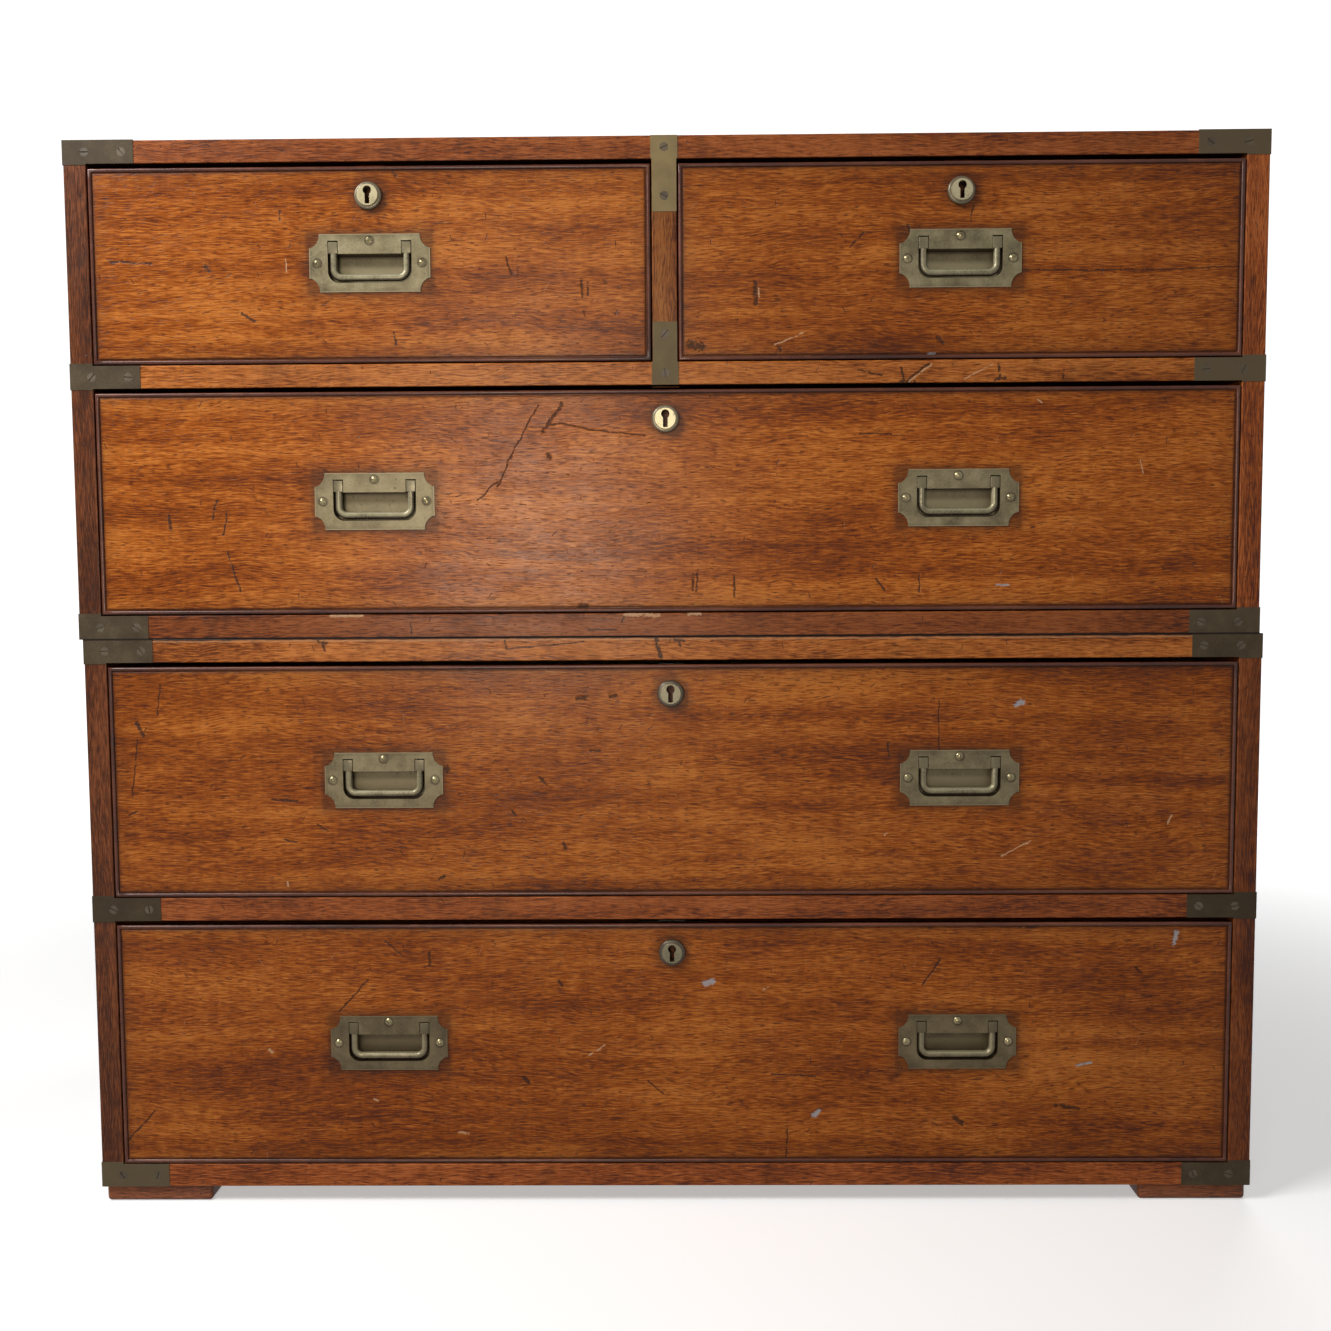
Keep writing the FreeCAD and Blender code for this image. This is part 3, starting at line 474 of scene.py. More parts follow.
def nicks(finish, x, z, cell, reach, width, chance, seed):
    """Short dents in random directions: at most one in each square cell, in millimetres."""
    u = x / cell + seed
    v = z / cell
    column = u.floor()
    row = v.floor()
    corner = finish.joined(column, row, seed)
    drawn = finish.make("ShaderNodeTexWhiteNoise", {"noise_dimensions": "3D"}, {"Vector": corner}, 0)
    scatter = finish.make("ShaderNodeTexWhiteNoise", {"noise_dimensions": "3D"}, {"Vector": corner}, 1)
    shift_u, shift_v, heading = finish.split(scatter)
    right = (u - column - 0.5 - (shift_u - 0.5) * 0.5) * cell
    up = (v - row - 0.5 - (shift_v - 0.5) * 0.5) * cell
    angle = heading * (2.0 * math.pi)
    run = right * angle.cosine() + up * angle.sine()
    side = right * angle.sine() - up * angle.cosine()
    side = side + (finish.noise(x / 3.0, z / 3.0, seed, 1.0) - 0.5) * (width * 2.0)
    longest = (drawn / chance) * reach + reach * 0.3
    inside = finish.step(abs(side), width, width * 0.3) * finish.step(abs(run) - longest, 0.0, -0.8)
    return inside * drawn.below(chance)


def strokes(finish, x, z, marks):
    """Scratches, each between two points and with its own half width, crooked and broken up."""
    crooked = finish.noise(x / 8.0, z / 8.0, 3.0, 2.0) - 0.5
    ragged = finish.noise(x / 2.2, z / 2.2, 0.0, 2.0) - 0.5
    x = x + crooked * 3.4
    z = z - crooked * 2.6
    nearest = None
    for start_x, start_z, way_x, way_z, width in marks:
        reach = math.hypot(way_x, way_z)
        run_x = way_x / reach
        run_z = way_z / reach
        right = x - start_x
        up = z - start_z
        run = right * run_x + up * run_z
        side = right * run_z - up * run_x
        past = (abs(run - reach / 2.0) - reach / 2.0).most(0.0)
        away = distance(side, past) / width
        nearest = away if nearest is None else nearest.least(away)
    broken = finish.step(finish.noise(x / 4.5, z / 4.5, 9.0, 2.0), 0.25, 0.48)
    return finish.step(nearest + ragged * 2.6, 1.5, 0.6) * broken


def scratched(finish, place, marks):
    """Lays marks over the front face and gives how deep their scratches are."""
    tint = colours()
    x, y, z = place
    face = finish.step(y - FACE / MM, 3.0, 1.0)
    deep = None
    inks = {"dark": (tint.grime_and_shade, 0.85), "pale": (tint.scratch_and_highlight, 0.7), "paint": (tint.paint, 0.85)}
    for kind, (ink, share) in inks.items():
        if kind in marks:
            lines = strokes(finish, x, z, marks[kind]) * face
            finish.cover(lines * share, ink)
            deep = lines if deep is None else deep.most(lines)
    return deep


def board_finish(name, grain, offset, shades, wear=1.0, under=None):
    """Polished board with dirt, dents and rubbed places, a dark joint where the two cases meet and a painted
    highlight with some wear just under it.

    A board over a drawer has painted shade, with some old dirt, just inside its front edge at the height of
    its underside, so the gap over the drawer looks black.
    """
    tint = colours()
    finish = Finish(name + "_wood", WOOD_GLOSS)
    pattern = Grain(finish, grain, offset)
    finish.ramp(pattern.tone(), (0.12, 0.5, 0.9), shades)
    finish.cover(pattern.pores * 0.4, tint.grime_and_shade)
    dirt = finish.noise(pattern.x / 34.0, pattern.y / 34.0, pattern.z / 34.0, 4.0, 0.62)
    finish.cover(finish.step(dirt, 0.52, 0.78) * 0.45 * wear, tint.grime_and_shade)
    rubbed = finish.noise(pattern.x / 13.0 + 7.0, pattern.y / 13.0, pattern.z / 13.0, 4.0, 0.65)
    finish.cover(finish.step(rubbed, 0.62, 0.8) * 0.35 * wear, shades[2])
    flat = pattern.x + pattern.y
    dents = nicks(finish, flat, pattern.z, 19.0, 2.2, 0.5, 0.5, 3.0)
    finish.cover(dents * 0.7, tint.grime_and_shade)
    x, y, z = finish.place()
    # Painted shade, with some old dirt, on the underside just inside the front edge, where the gap over a
    # drawer is in shade
    if under is not None:
        depth = y - FACE / MM
        gap_shade_and_dirt = finish.step(depth, 0.3, 1.5) * finish.step(depth, 40.0, 18.0)
        gap_shade_and_dirt = gap_shade_and_dirt * finish.step(z - under, 0.6, 0.1)
        finish.cover(gap_shade_and_dirt * 0.95, tint.soot_and_shade)
    below = SEAM / MM - z + (rubbed - 0.5) * 1.6
    inside = (CASE_HALF / MM - abs(x)).least(CASE_DEPTH / 2.0 / MM - abs(y - CASE_MIDDLE / MM))
    outer = finish.step(inside, 4.0, 1.0)
    # Painted highlight, with some wear, in pale wood along the edge just under the joint of the cases
    finish.cover(finish.step(abs(below - 2.2), 1.1, 0.3) * 0.35, tint.scratch_and_highlight)
    finish.cover(finish.step(abs(below), 1.5, 0.8) * outer * 0.95, tint.soot_and_shade)
    scratched(finish, (x, y, z), MARKS.get(name, {}))
    rough = 0.32 + (dirt - 0.5) * 0.3 + (pattern.streaks - 0.5) * 0.2
    return finish.done(rough, pattern.height() - dents * 1.5, 0.12 * MM)


def handle_place(front, x, z):
    """Distances beside and above the middle of the nearest handle of a front."""
    right = abs(abs(x - front.middle / MM) - front.handle_reach / MM)
    return right, z - front.handle_z / MM


def front_finish(front, offset):
    """Polished drawer front: warm flamed grain, dark polish round the brass and at the edges, old marks."""
    tint = colours()
    finish = Finish(front.name + "_front_wood", WOOD_GLOSS)
    pattern = Grain(finish, "x", offset)
    x, y, z = finish.place()
    shades = front.wood_tone * palette("front")
    finish.ramp(pattern.tone(), (0.0, 0.5, 1.0), shades)
    finish.cover(pattern.pores * 0.7, shades[0] * 0.6)
    cloud = finish.noise(x / 26.0, z / 26.0, offset[0], 4.0, 0.6)
    smear = (cloud - 0.5) * 14.0
    right, up = handle_place(front, x, z)
    right = (right - PLATE_HALF / MM).most(0.0)
    up = (abs(up) - PLATE_RISE / MM).most(0.0)
    away = distance(right, up)
    halo = finish.step(away + smear, 15.0, 1.0) * 0.3 + finish.step(away + smear * 0.3, 5.0, 0.5) * 0.3
    right, up = x - front.lock_x / MM, z - front.lock_z / MM
    halo = halo.most(finish.step(distance(right, up) + smear * 0.4, 21.0, 11.0) * 0.5)
    edge = ((front.right - front.left) / 2.0 / MM - abs(x - front.middle / MM)).least(
        (front.high - front.low) / 2.0 / MM - abs(z - front.middle_z / MM))
    rim = finish.step(edge + smear * 0.7, 24.0, 3.0) * 0.22 + finish.step(edge + smear * 0.12, 7.0, 4.2) * 0.4
    dirt = (halo + rim + finish.step(cloud, 0.6, 0.8) * 0.3).least(0.9)
    finish.cover(dirt, tint.grime_and_shade)
    dents = nicks(finish, x, z, 27.0, 2.6, 0.55, 0.45, 1.0)
    dents = dents.most(nicks(finish, x, z, 11.0, 1.1, 0.4, 0.3, 5.0))
    finish.cover(dents * 0.75, tint.grime_and_shade)
    rubs = nicks(finish, x, z, 63.0, 4.0, 0.4, 0.35, 9.0)
    finish.cover(rubs * 0.25, tint.scratch_and_highlight)
    deep = scratched(finish, (x, y, z), MARKS[front.name])
    worn = (cloud - 0.5) * 0.26 + (pattern.streaks - 0.5) * 0.2
    rough = 0.26 + worn + dirt * 0.12 + deep * 0.2
    return finish.done(rough, pattern.height() - dents.most(deep) * 1.8, 0.1 * MM)


def bead_finish(name, offset):
    """Red-brown bead, rubbed paler on its nose, with painted shade where it goes back into the quirk and the
    gap.
    """
    shades = palette("bead")
    finish = Finish(name, {"Specular IOR Level": 0.3})
    pattern = Grain(finish, "x", offset)
    finish.ramp(pattern.blotch + (pattern.fibres - 0.5) * 0.5, (0.25, 0.5, 0.8), shades)
    worn = finish.noise(pattern.x / 22.0, pattern.y / 22.0, pattern.z / 22.0, 4.0, 0.6)
    depth = finish.place()[1] - FACE / MM
    # Painted shade on the bead where it goes back behind the face, in the quirk and the gap
    quirk_shade = finish.step(depth + (worn - 0.5) * 0.4, 0.4, 1.2)
    finish.cover(finish.step(worn, 0.52, 0.75) * 0.5, shades[2])
    finish.cover(quirk_shade * 0.85, colours().soot_and_shade)
    return finish.done(0.26 + (worn - 0.5) * 0.3, pattern.streaks * 0.5 + worn * 0.5, 0.06 * MM)


def lining_finish(name, grain, offset):
    """Plain unpolished wood of the drawer boxes, their bottoms and the pegs."""
    return board_finish(name, grain, offset, np.outer((0.5, 1.0, 1.45), colours().lining), 0.5)


class Brass(Finish):
    """Old brass in the making: cloudy tarnish, dark specks and fine scratches."""

    def __init__(self, name, shades, metallic, contrast=1.0, gloss=0.4):
        super().__init__(name, {"Metallic": metallic, "Specular IOR Level": gloss})
        x, y, z = self.place()
        self.x, self.y, self.z = x, y, z
        self.cloud = self.noise(x / 17.0, y / 17.0, z / 17.0, 4.0, 0.55)
        self.fine = self.noise(x / 1.9, y / 1.9, z / 1.9, 3.0, 0.6)
        hair = self.noise((x + z) / 9.0, (x - z) / 0.5, y / 3.0, 1.0)
        tone = (self.cloud * 1.1 + self.fine * 0.5 + hair * 0.3 - 0.95) * contrast + 0.5
        self.ramp(tone, (0.12, 0.5, 0.88), shades)
        specks = self.step(self.noise(x / 3.4 + 11.0, y / 3.4, z / 3.4, 2.0), 0.65, 0.78)
        self.cover(specks * (0.5 * contrast), colours().grime_and_shade)
        self.rough = 0.42 + (self.cloud - 0.5) * 0.3 + (self.fine - 0.5) * 0.25 + specks * 0.15

    def polished(self, rough):
        """The material, rougher by an amount or smoother by a negative one."""
        return self.done(self.rough + rough, self.fine * 0.5 + self.cloud * 0.8, 0.1 * MM)


def handle_shades(tone):
    """Dark, middle and light brass of the handles, browner the darker they are."""
    hue = (tone / YELLOW_TONE) ** np.array((0.0, 0.2, 0.4))
    return tone * hue * palette("plate")


def bail_finish(front):
    """Brass of a bail: a painted highlight with polish from fingers on the inside of its bend, and painted
    shade with dirt on the outside.
    """
    shades = handle_shades(0.3 + 0.65 * front.plate_tone)
    brass = Brass(front.name + "_bail_brass", shades, 0.25)
    right, up = handle_place(front, brass.x, brass.z)
    across = (right - (LEG_OFFSET - BEND_RADIUS) / MM).most(0.0)
    down = ((BEND_RADIUS - BAR_DROP) / MM - up).most(0.0)
    inner = BEND_RADIUS / MM - distance(across, down)
    # Painted highlight, with polish from fingers, on the inside of the bend
    brass.cover(brass.step(inner + (brass.cloud - 0.5) * 1.5, 0.2, 1.8) * 0.7, shades[2] * 1.15)
    # Painted shade, with dirt, on the outside of the bend
    brass.cover(brass.step(inner, -0.6, -2.6) * 0.75, colours().grime_and_shade)
    lug = brass.step(up - (PIVOT_RISE - LUG_DROP) / MM, -0.5, 0.1)
    brass.cover(lug * (0.6 + brass.cloud * 0.6), handle_shades(front.plate_tone)[1])
    return brass.polished(-0.12)


def plate_finish(front):
    """Brass of a handle plate: painted shade round the screws, in the top of the pan and round the bail,
    darker along the edges, a painted highlight on the edges and painted light on the lower pan.
    """
    tint = colours()
    shades = handle_shades(front.plate_tone)
    brass = Brass(front.name + "_plate_brass", shades, 0.45)
    right, up = handle_place(front, brass.x, brass.z)
    # Painted shade, with some dirt, in a ring round the domed screws
    ring = None
    for spot_x, spot_z in PLATE_SCREWS[::2]:
        near = brass.step(distance(right - spot_x / MM, up - spot_z / MM), 4.9, 3.6)
        ring = near if ring is None else ring.most(near)
    brass.cover(ring * 0.7, tint.grime_and_shade)
    edge = (PLATE_HALF / MM - right).least(PLATE_RISE / MM - abs(up))
    brass.cover(brass.step(edge + (brass.cloud - 0.5) * 6.0, 4.5, 0.5) * 0.3, shades[0])
    # Painted highlight on the plate's outer edges
    brass.cover(brass.step(edge, 0.9, 0.3) * 0.7, shades[2])
    sunk = brass.step(brass.y - PLATE_FACE / MM, 0.6, 4.0)
    # Painted light on the lower floor of the pan, painted shade on its upper part and a painted shadow under
    # its top edge
    brass.cover(sunk * brass.step(up, 2.0, -3.5) * 0.75, shades[2])
    brass.cover(sunk * brass.step(up + (brass.cloud - 0.5) * 4.0, -2.0, 1.5) * 0.25, shades[0])
    brass.cover(sunk * brass.step(up, 4.6, 8.0) * 0.75, tint.grime_and_shade)
    # Painted shade in the recess round the bail's legs and bar
    channel_shade = brass.step(right, 31.5, 34.0).most(brass.step(up, -12.5, -15.0)) * brass.step(up, 9.0, 7.5)
    brass.cover(brass.step(brass.y - PLATE_FACE / MM, 0.5, 1.5) * channel_shade * 0.85, tint.grime_and_shade)
    return brass.polished(sunk * 0.1)


def nozzle_finish(front):
    """Brass of a lock's nozzle: bright face, painted shade on the flange and a keyhole painted black as
    shade.
    """
    tint = colours()
    shades = front.nozzle_tone * palette("plate")[[1, 2, 2]]
    brass = Brass(front.name + "_nozzle_brass", shades, 0.3)
    right, up = brass.x - front.lock_x / MM, brass.z - front.lock_z / MM
    radius = distance(right, up)
    sunk = brass.y - NOZZLE_FACE / MM
    # Painted shade on the flange, round the face and down its side
    brass.cover(brass.step(radius, 8.5, 9.2) * 0.75, tint.grime_and_shade)
    brass.cover(brass.step(sunk, 3.7, 5.1) * 0.8, tint.grime_and_shade)
    # Painted shade, black inside the keyhole and round its edge on the face
    brass.cover(brass.step(sunk, 0.35, 0.7) * brass.step(radius, 7.2, 6.8), tint.soot_and_shade)
    hole = brass.step(distance(right, up - 3.5), 3.7, 3.2)
    slot = brass.step(abs(right), 2.0, 1.6) * brass.step(abs(up + 2.0), 5.4, 4.9)
    brass.cover(hole.most(slot), tint.soot_and_shade)
    return brass.polished(-0.12)


def bracket_finish():
    """Dark smooth brass of the brackets, dirty at the joint of the cases and lighter on the post."""
    tint = colours()
    shades = palette("bracket")
    brass = Brass("bracket_old_brass", shades, 0.1, 0.7, 0.12)
    upper_right = brass.step(brass.x, 100.0, 300.0) * brass.step(brass.z, 480.0, 560.0)
    lower_left = brass.step(brass.x, -100.0, -300.0) * brass.step(brass.z, 120.0, 60.0)
    brass.cover(upper_right.most(lower_left) * 0.7, shades[2])
    brass.cover(brass.step(abs(brass.z - DARK_BRACKETS / MM), 80.0, 40.0) * 0.5, shades[0])
    strap = brass.step(abs(brass.x), 60.0, 40.0) * (0.34 + brass.step(brass.z, 760.0, 840.0) * 0.54)
    brass.cover(strap + (brass.cloud - 0.5) * strap, tint.strap)
    seam = brass.step(abs(brass.z - SEAM / MM), 1.2, 0.5)
    brass.cover(seam * 0.9, tint.soot_and_shade)
    return brass.polished(0.1)


# Meshes

def grid_faces(rows, columns, around=False):
    """Four-sided faces of a grid of points, with its last column joined to its first where it goes around."""
    index = np.arange(rows * columns).reshape(rows, columns)
    if around:
        index = np.hstack([index, index[:, :1]])
    corners = (index[:-1, :-1], index[:-1, 1:], index[1:, 1:], index[1:, :-1])
    return np.stack(corners, -1).reshape(-1, 4).tolist()


def closed_sheet(points):
    """A sheet over a grid of points, closed behind by one face over its border."""
    rows, columns = points.shape[:2]
    index = np.arange(rows * columns).reshape(rows, columns)
    border = (index[0, :-1], index[:-1, -1], index[-1, :0:-1], index[:0:-1, 0])
    return points, grid_faces(rows, columns) + [np.concatenate(border)[::-1].tolist()]


class Shells:
    """Closed surfaces collected for one piece."""

    def __init__(self, *surfaces):
        self.points = []
        self.faces = []
        self.count = 0
        for points, faces in surfaces:
            self.add(points, faces)

    def add(self, points, faces):
        points = np.asarray(points, float).reshape(-1, 3)
        self.faces += [[corner + self.count for corner in face] for face in faces]
        self.points.append(points)
        self.count += len(points)

    def piece(self, name, body, nodes, material, angle=40.0):
        """Makes the object: welded, facing outwards, smooth up to an angle, riding on its body."""
        mesh = bpy.data.meshes.new(name)
        mesh.from_pydata(np.concatenate(self.points).tolist(), [], self.faces)
        work = bmesh.new()
        work.from_mesh(mesh)
        bmesh.ops.remove_doubles(work, verts=work.verts, dist=1e-7)
        bmesh.ops.recalc_face_normals(work, faces=work.faces)
        work.to_mesh(mesh)
        work.free()
        mesh.shade_smooth()
        mesh.set_sharp_from_angle(angle=math.radians(angle))
        mesh.materials.append(material)
        return placed(name, mesh, body, nodes)


def linked(name, data):
    """A new object in the scene."""
    thing = bpy.data.objects.new(name, data)
    bpy.context.scene.collection.objects.link(thing)
    return thing


def placed(name, mesh, body, nodes):
    """An object at the origin that rides on a body and stands for CAD nodes."""
    thing = linked(name, mesh)
    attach(thing, body)
    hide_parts(*nodes)
    return thing


def lines(low, high, pitch, extra):
    """Grid lines from low to high about a pitch apart, with extra lines of their own."""
    plain = np.linspace(low, high, max(2, int(round((high - low) / pitch)) + 1))
    extra = np.array([value for value in extra if low < value < high])
    keep = np.abs(plain[:, None] - extra[None, :]).min(1) > pitch * 0.25 if len(extra) else plain == plain
    keep[[0, -1]] = True
    return np.unique(np.round(np.concatenate([plain[keep], extra]), 8))


class Front:
    """Where a drawer front, its handles and its lock are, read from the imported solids."""

    def __init__(self, name):
        self.name = name + "_drawer"
        self.wood_tone, self.plate_tone, self.nozzle_tone = DRAWERS[name]
        low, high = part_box(self.name + "_front")
        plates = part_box(self.name + "_handle_plates")
        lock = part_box(self.name + "_lock")
        self.left, self.right, self.low, self.high = low.x, high.x, low.z, high.z
        self.rear = high.y
        self.middle = (low.x + high.x) / 2.0
        self.middle_z = (low.z + high.z) / 2.0
        self.handle_z = (plates[0].z + plates[1].z) / 2.0
        self.handle_reach = (plates[1].x - plates[0].x) / 2.0 - PLATE_HALF
        spots = (plates[0].x + PLATE_HALF, plates[1].x - PLATE_HALF)
        self.handles = spots if self.handle_reach > PLATE_HALF else spots[:1]
        self.lock_x = (lock[0].x + lock[1].x) / 2.0
        self.lock_z = lock[1].z - NOZZLE_DROP


def front_panel(front, seed):
    """A drawer front as a height over a grid of x and z.

    The height is the face, plus a step down at the quirk near the edges, plus a slow sum of sines for
    hand planing, plus pockets with steep walls where the handles and the lock's neck sit. A rim and a
    back close it.
    """
    size = sizes()
    inset = size.bead_width + size.quirk_width
    hair = 0.02 * MM
    steps = np.array([inset - 0.05 * MM, inset, inset + 0.25 * MM, inset + 0.6 * MM, inset + 1.6 * MM])
    drops = np.array([1.0, 0.5, 0.13, 0.02, 0.0]) * size.quirk_depth
    gap = 0.2 * MM
    pitch = 9.0 * MM
    left, right, low, high = front.left + gap, front.right - gap, front.low + gap, front.high - gap
    pockets = [(x - POCKET_HALF, x + POCKET_HALF, front.handle_z + POCKET_LOW, front.handle_z + POCKET_HIGH,
                POCKET_DEPTH) for x in front.handles]
    pockets.append((front.lock_x - NECK_HALF, front.lock_x + NECK_HALF, front.lock_z - NECK_HALF,
                    front.lock_z + NECK_HALF, NECK_DEPTH))
    x_extra = [*(front.left + steps), *(front.right - steps)]
    z_extra = [*(front.low + steps), *(front.high - steps)]
    for x0, x1, z0, z1, _ in pockets:
        x_extra += [x0 - hair, x0 + hair, x1 - hair, x1 + hair]
        z_extra += [z0 - hair, z0 + hair, z1 - hair, z1 + hair]
    x, z = np.meshgrid(lines(left, right, pitch, x_extra), lines(low, high, pitch, z_extra))
    edge = np.minimum(np.minimum(x - front.left, front.right - x), np.minimum(z - front.low, front.high - z))
    chance = np.random.default_rng(seed)
    swell = np.zeros_like(x)
    for wave in (0.31, 0.17, 0.09, 0.06):
        phase = chance.uniform(0.0, 2.0 * math.pi, 2)
        swell += np.sin(x * 2.0 * math.pi / wave + phase[0]) * np.sin(z * 2.9 * math.pi / wave + phase[1])
    y = FACE + np.interp(edge, steps, drops) + np.where(edge > inset, swell * size.waviness / 4.0, 0.0)
    for x0, x1, z0, z1, depth in pockets:
        inside = (x > x0) & (x < x1) & (z > z0) & (z < z1)
        y = np.where(inside, FACE + depth, y)
    rear = front.rear - 2.0 * gap
    wide = [np.pad(values, 1, mode="edge") for values in (x, y, z)]
    wide[1][[0, -1], :] = rear
    wide[1][:, [0, -1]] = rear
    return closed_sheet(np.stack(wide, -1))


def bead_frame(front, seed):
    """A round-nosed profile carried round the four edges of a front and mitred at the corners.

    A profile point lies a distance in from the edge and a height out of the face. Small slow wobbles
    along the way make it look worn.
    """
    size = sizes()
    pitch = 8.0 * MM
    wear = 0.03 * MM
    nose = size.bead_width / 2.0
    turn = np.linspace(math.pi, 0.0, 11)
    inward = np.concatenate([[0.0], nose + nose * np.cos(turn), [size.bead_width]])
    out = np.concatenate([[size.bead_depth], nose - size.bead_proud - nose * np.sin(turn), [size.bead_depth]])
    corners = np.array([(front.left, front.low), (front.right, front.low), (front.right, front.high),
                        (front.left, front.high)])
    stations = []
    for index, start in enumerate(corners):
        end = corners[(index + 1) % len(corners)]
        span = np.linalg.norm(end - start)
        ahead = (end - start) / span
        across = np.array([-ahead[1], ahead[0]])
        count = max(12, int(span / pitch))
        share = np.arange(count) / count
        travel = inward[None, :] + share[:, None] * (span - 2.0 * inward[None, :])
        flat = start + travel[..., None] * ahead + inward[None, :, None] * across
        stations.append(flat)
    flat = np.concatenate(stations)
    count = len(flat)
    chance = np.random.default_rng(seed)
    phase = np.linspace(0.0, 2.0 * math.pi, count, endpoint=False)[:, None]
    wobble = sum(np.sin(phase * wave + chance.uniform(0.0, 6.28)) for wave in (37, 61, 97, 151, 211))
    lift = out[None, :] + wobble * wear * (out < nose)[None, :]
    points = np.stack([flat[..., 0], FACE + lift, flat[..., 1]], -1)
    ring = points.transpose(1, 0, 2)
    closed = np.concatenate([ring, ring[:1]])
    return closed, grid_faces(len(closed), count, True)


def tube(path, side, radius, turns=16):
    """A circle carried along a flat path: each ring lies across the path, between its side and its normal."""
    path = np.asarray(path)
    ahead = np.gradient(path, axis=0)
    ahead /= np.linalg.norm(ahead, axis=1, keepdims=True)
    side = np.broadcast_to(side, path.shape)
    normal = np.cross(ahead, side)
    angle = np.linspace(0.0, 2.0 * math.pi, turns, endpoint=False)[None, :, None]
    points = path[:, None] + radius * (np.cos(angle) * side[:, None] + np.sin(angle) * normal[:, None])
    rows = len(path)
    index = np.arange(rows * turns).reshape(rows, turns)
    ends = [index[0].tolist()[::-1], index[-1].tolist()]
    return points, grid_faces(rows, turns, True) + ends


def rounded_block(low, high, radius):
    """A box with round edges: points of a box grid, drawn in to an inner box and pushed out by the radius."""
    low, high = np.asarray(low), np.asarray(high)
    half = (high - low) / 2.0
    share = np.array([0.0, 0.12, 0.35, 0.65, 1.0])
    sweep = np.concatenate([-1.0 + share * 0.5, [0.0], 1.0 - share[::-1] * 0.5])
    u, v = np.meshgrid(sweep, sweep)
    shells = []
    for axis in range(3):
        for end in (-1.0, 1.0):
            cube = np.empty(u.shape + (3,))
            cube[..., axis] = end
            cube[..., (axis + 1) % 3] = u
            cube[..., (axis + 2) % 3] = v
            shells.append(cube)
    cube = np.stack(shells)
    outer = np.sign(cube) * np.where(np.abs(cube) > 0.5, half - radius + (np.abs(cube) - 0.5) * 2.0 * radius,
                                     np.abs(cube) * 2.0 * (half - radius))
    inner = np.clip(outer, -(half - radius), half - radius)
    away = outer - inner
    away /= np.maximum(np.linalg.norm(away, axis=-1, keepdims=True), 1e-12)
    points = (low + high) / 2.0 + inner + away * radius
    count = len(sweep)
    faces = []
    for index in range(len(shells)):
        faces += [[corner + index * count * count for corner in face] for face in grid_faces(count, count)]
    return points, faces


def screw_head(middle, aim, turn, radius, height, slot, fine):
    """A slotted head as a height over a disc.

    The disc is a square grid drawn round: each line runs along the slot and is shortened to its chord. The
    height is a shallow dome with a flat-bottomed slot, and a skirt goes down into what carries the head.
    """
    size = slot / 2.0 / radius
    hair = 0.03
    outer = np.array([0.4, 0.7, 0.9, 0.995]) if fine else np.array([0.6, 0.98])
    row = np.concatenate([-outer[::-1], [-size - hair, -size + hair, size - hair, size + hair], outer])
    column = np.linspace(-1.0, 1.0, 11 if fine else 6)
    row = np.concatenate([row[:1], row, row[-1:]])
    column = np.concatenate([column[:1], column, column[-1:]])
    u, v = np.meshgrid(column, row)
    right = u * np.sqrt(1.0 - v * v)
    far = right * right + v * v
    rise = height * (1.0 - far)
    rise = np.where(np.abs(v) < size, np.minimum(rise, height - slot), rise)
    skirt = -0.4 * MM
    rise[[0, -1], :] = skirt
    rise[:, [0, -1]] = skirt
    aim = np.asarray(aim, float)
    side = np.cross(aim, (0.0, 0.0, 1.0) if abs(aim[2]) < 0.5 else (0.0, 1.0, 0.0))
    over = np.cross(aim, side)
    first = math.cos(turn) * side + math.sin(turn) * over
    second = np.cross(aim, first)
    points = (np.asarray(middle) + radius * right[..., None] * first + radius * v[..., None] * second
              - rise[..., None] * aim)
    return closed_sheet(points)


def bail_path(x, z):
    """Down one leg from its lug, round a quarter bend, along the bar, round the other bend and up."""
    bend = np.linspace(0.0, math.pi / 2.0, 9)
    low = -BAR_DROP + BEND_RADIUS
    near = LEG_OFFSET - BEND_RADIUS
    left = np.stack([-near - BEND_RADIUS * np.cos(bend), low - BEND_RADIUS * np.sin(bend)], -1)
    right = np.stack([near + BEND_RADIUS * np.sin(bend), low - BEND_RADIUS * np.cos(bend)], -1)
    leg = np.linspace(PIVOT_RISE - LUG_DROP + LUG_EDGE, low, 5)[:-1]
    bar = np.linspace(-near, near, 15)[1:-1]
    flat = np.concatenate([
        np.stack([np.full_like(leg, -LEG_OFFSET), leg], -1), left,
        np.stack([bar, np.full_like(bar, -BAR_DROP)], -1), right,
        np.stack([np.full_like(leg, LEG_OFFSET), leg[::-1]], -1)])
    depth = np.full(len(flat), PLATE_FACE + PIVOT_DEPTH)
    return np.stack([x + flat[:, 0], depth, z + flat[:, 1]], -1)


def bail_shells(shells, x, z):
    """The rod, a rounded lug at each end and its pin."""
    radius = sizes().rod_diameter / 2.0
    y = PLATE_FACE + PIVOT_DEPTH
    shells.add(*tube(bail_path(x, z), (0.0, 1.0, 0.0), radius))
    for side in (-1.0, 1.0):
        middle = x + side * LEG_OFFSET
        pivot = z + PIVOT_RISE
        low = (middle - LUG_HALF, y - PIVOT_DEPTH, pivot - LUG_DROP)
        high = (middle + LUG_HALF, y + PIVOT_DEPTH, pivot + LUG_RISE)
        shells.add(*rounded_block(low, high, LUG_EDGE))
        pin = np.linspace(middle - PIN_HALF, middle + PIN_HALF, 3)
        axle = np.stack([pin, np.full(3, y), np.full(3, pivot)], -1)
        shells.add(*tube(axle, (0.0, 1.0, 0.0), PIN_RADIUS, 12))


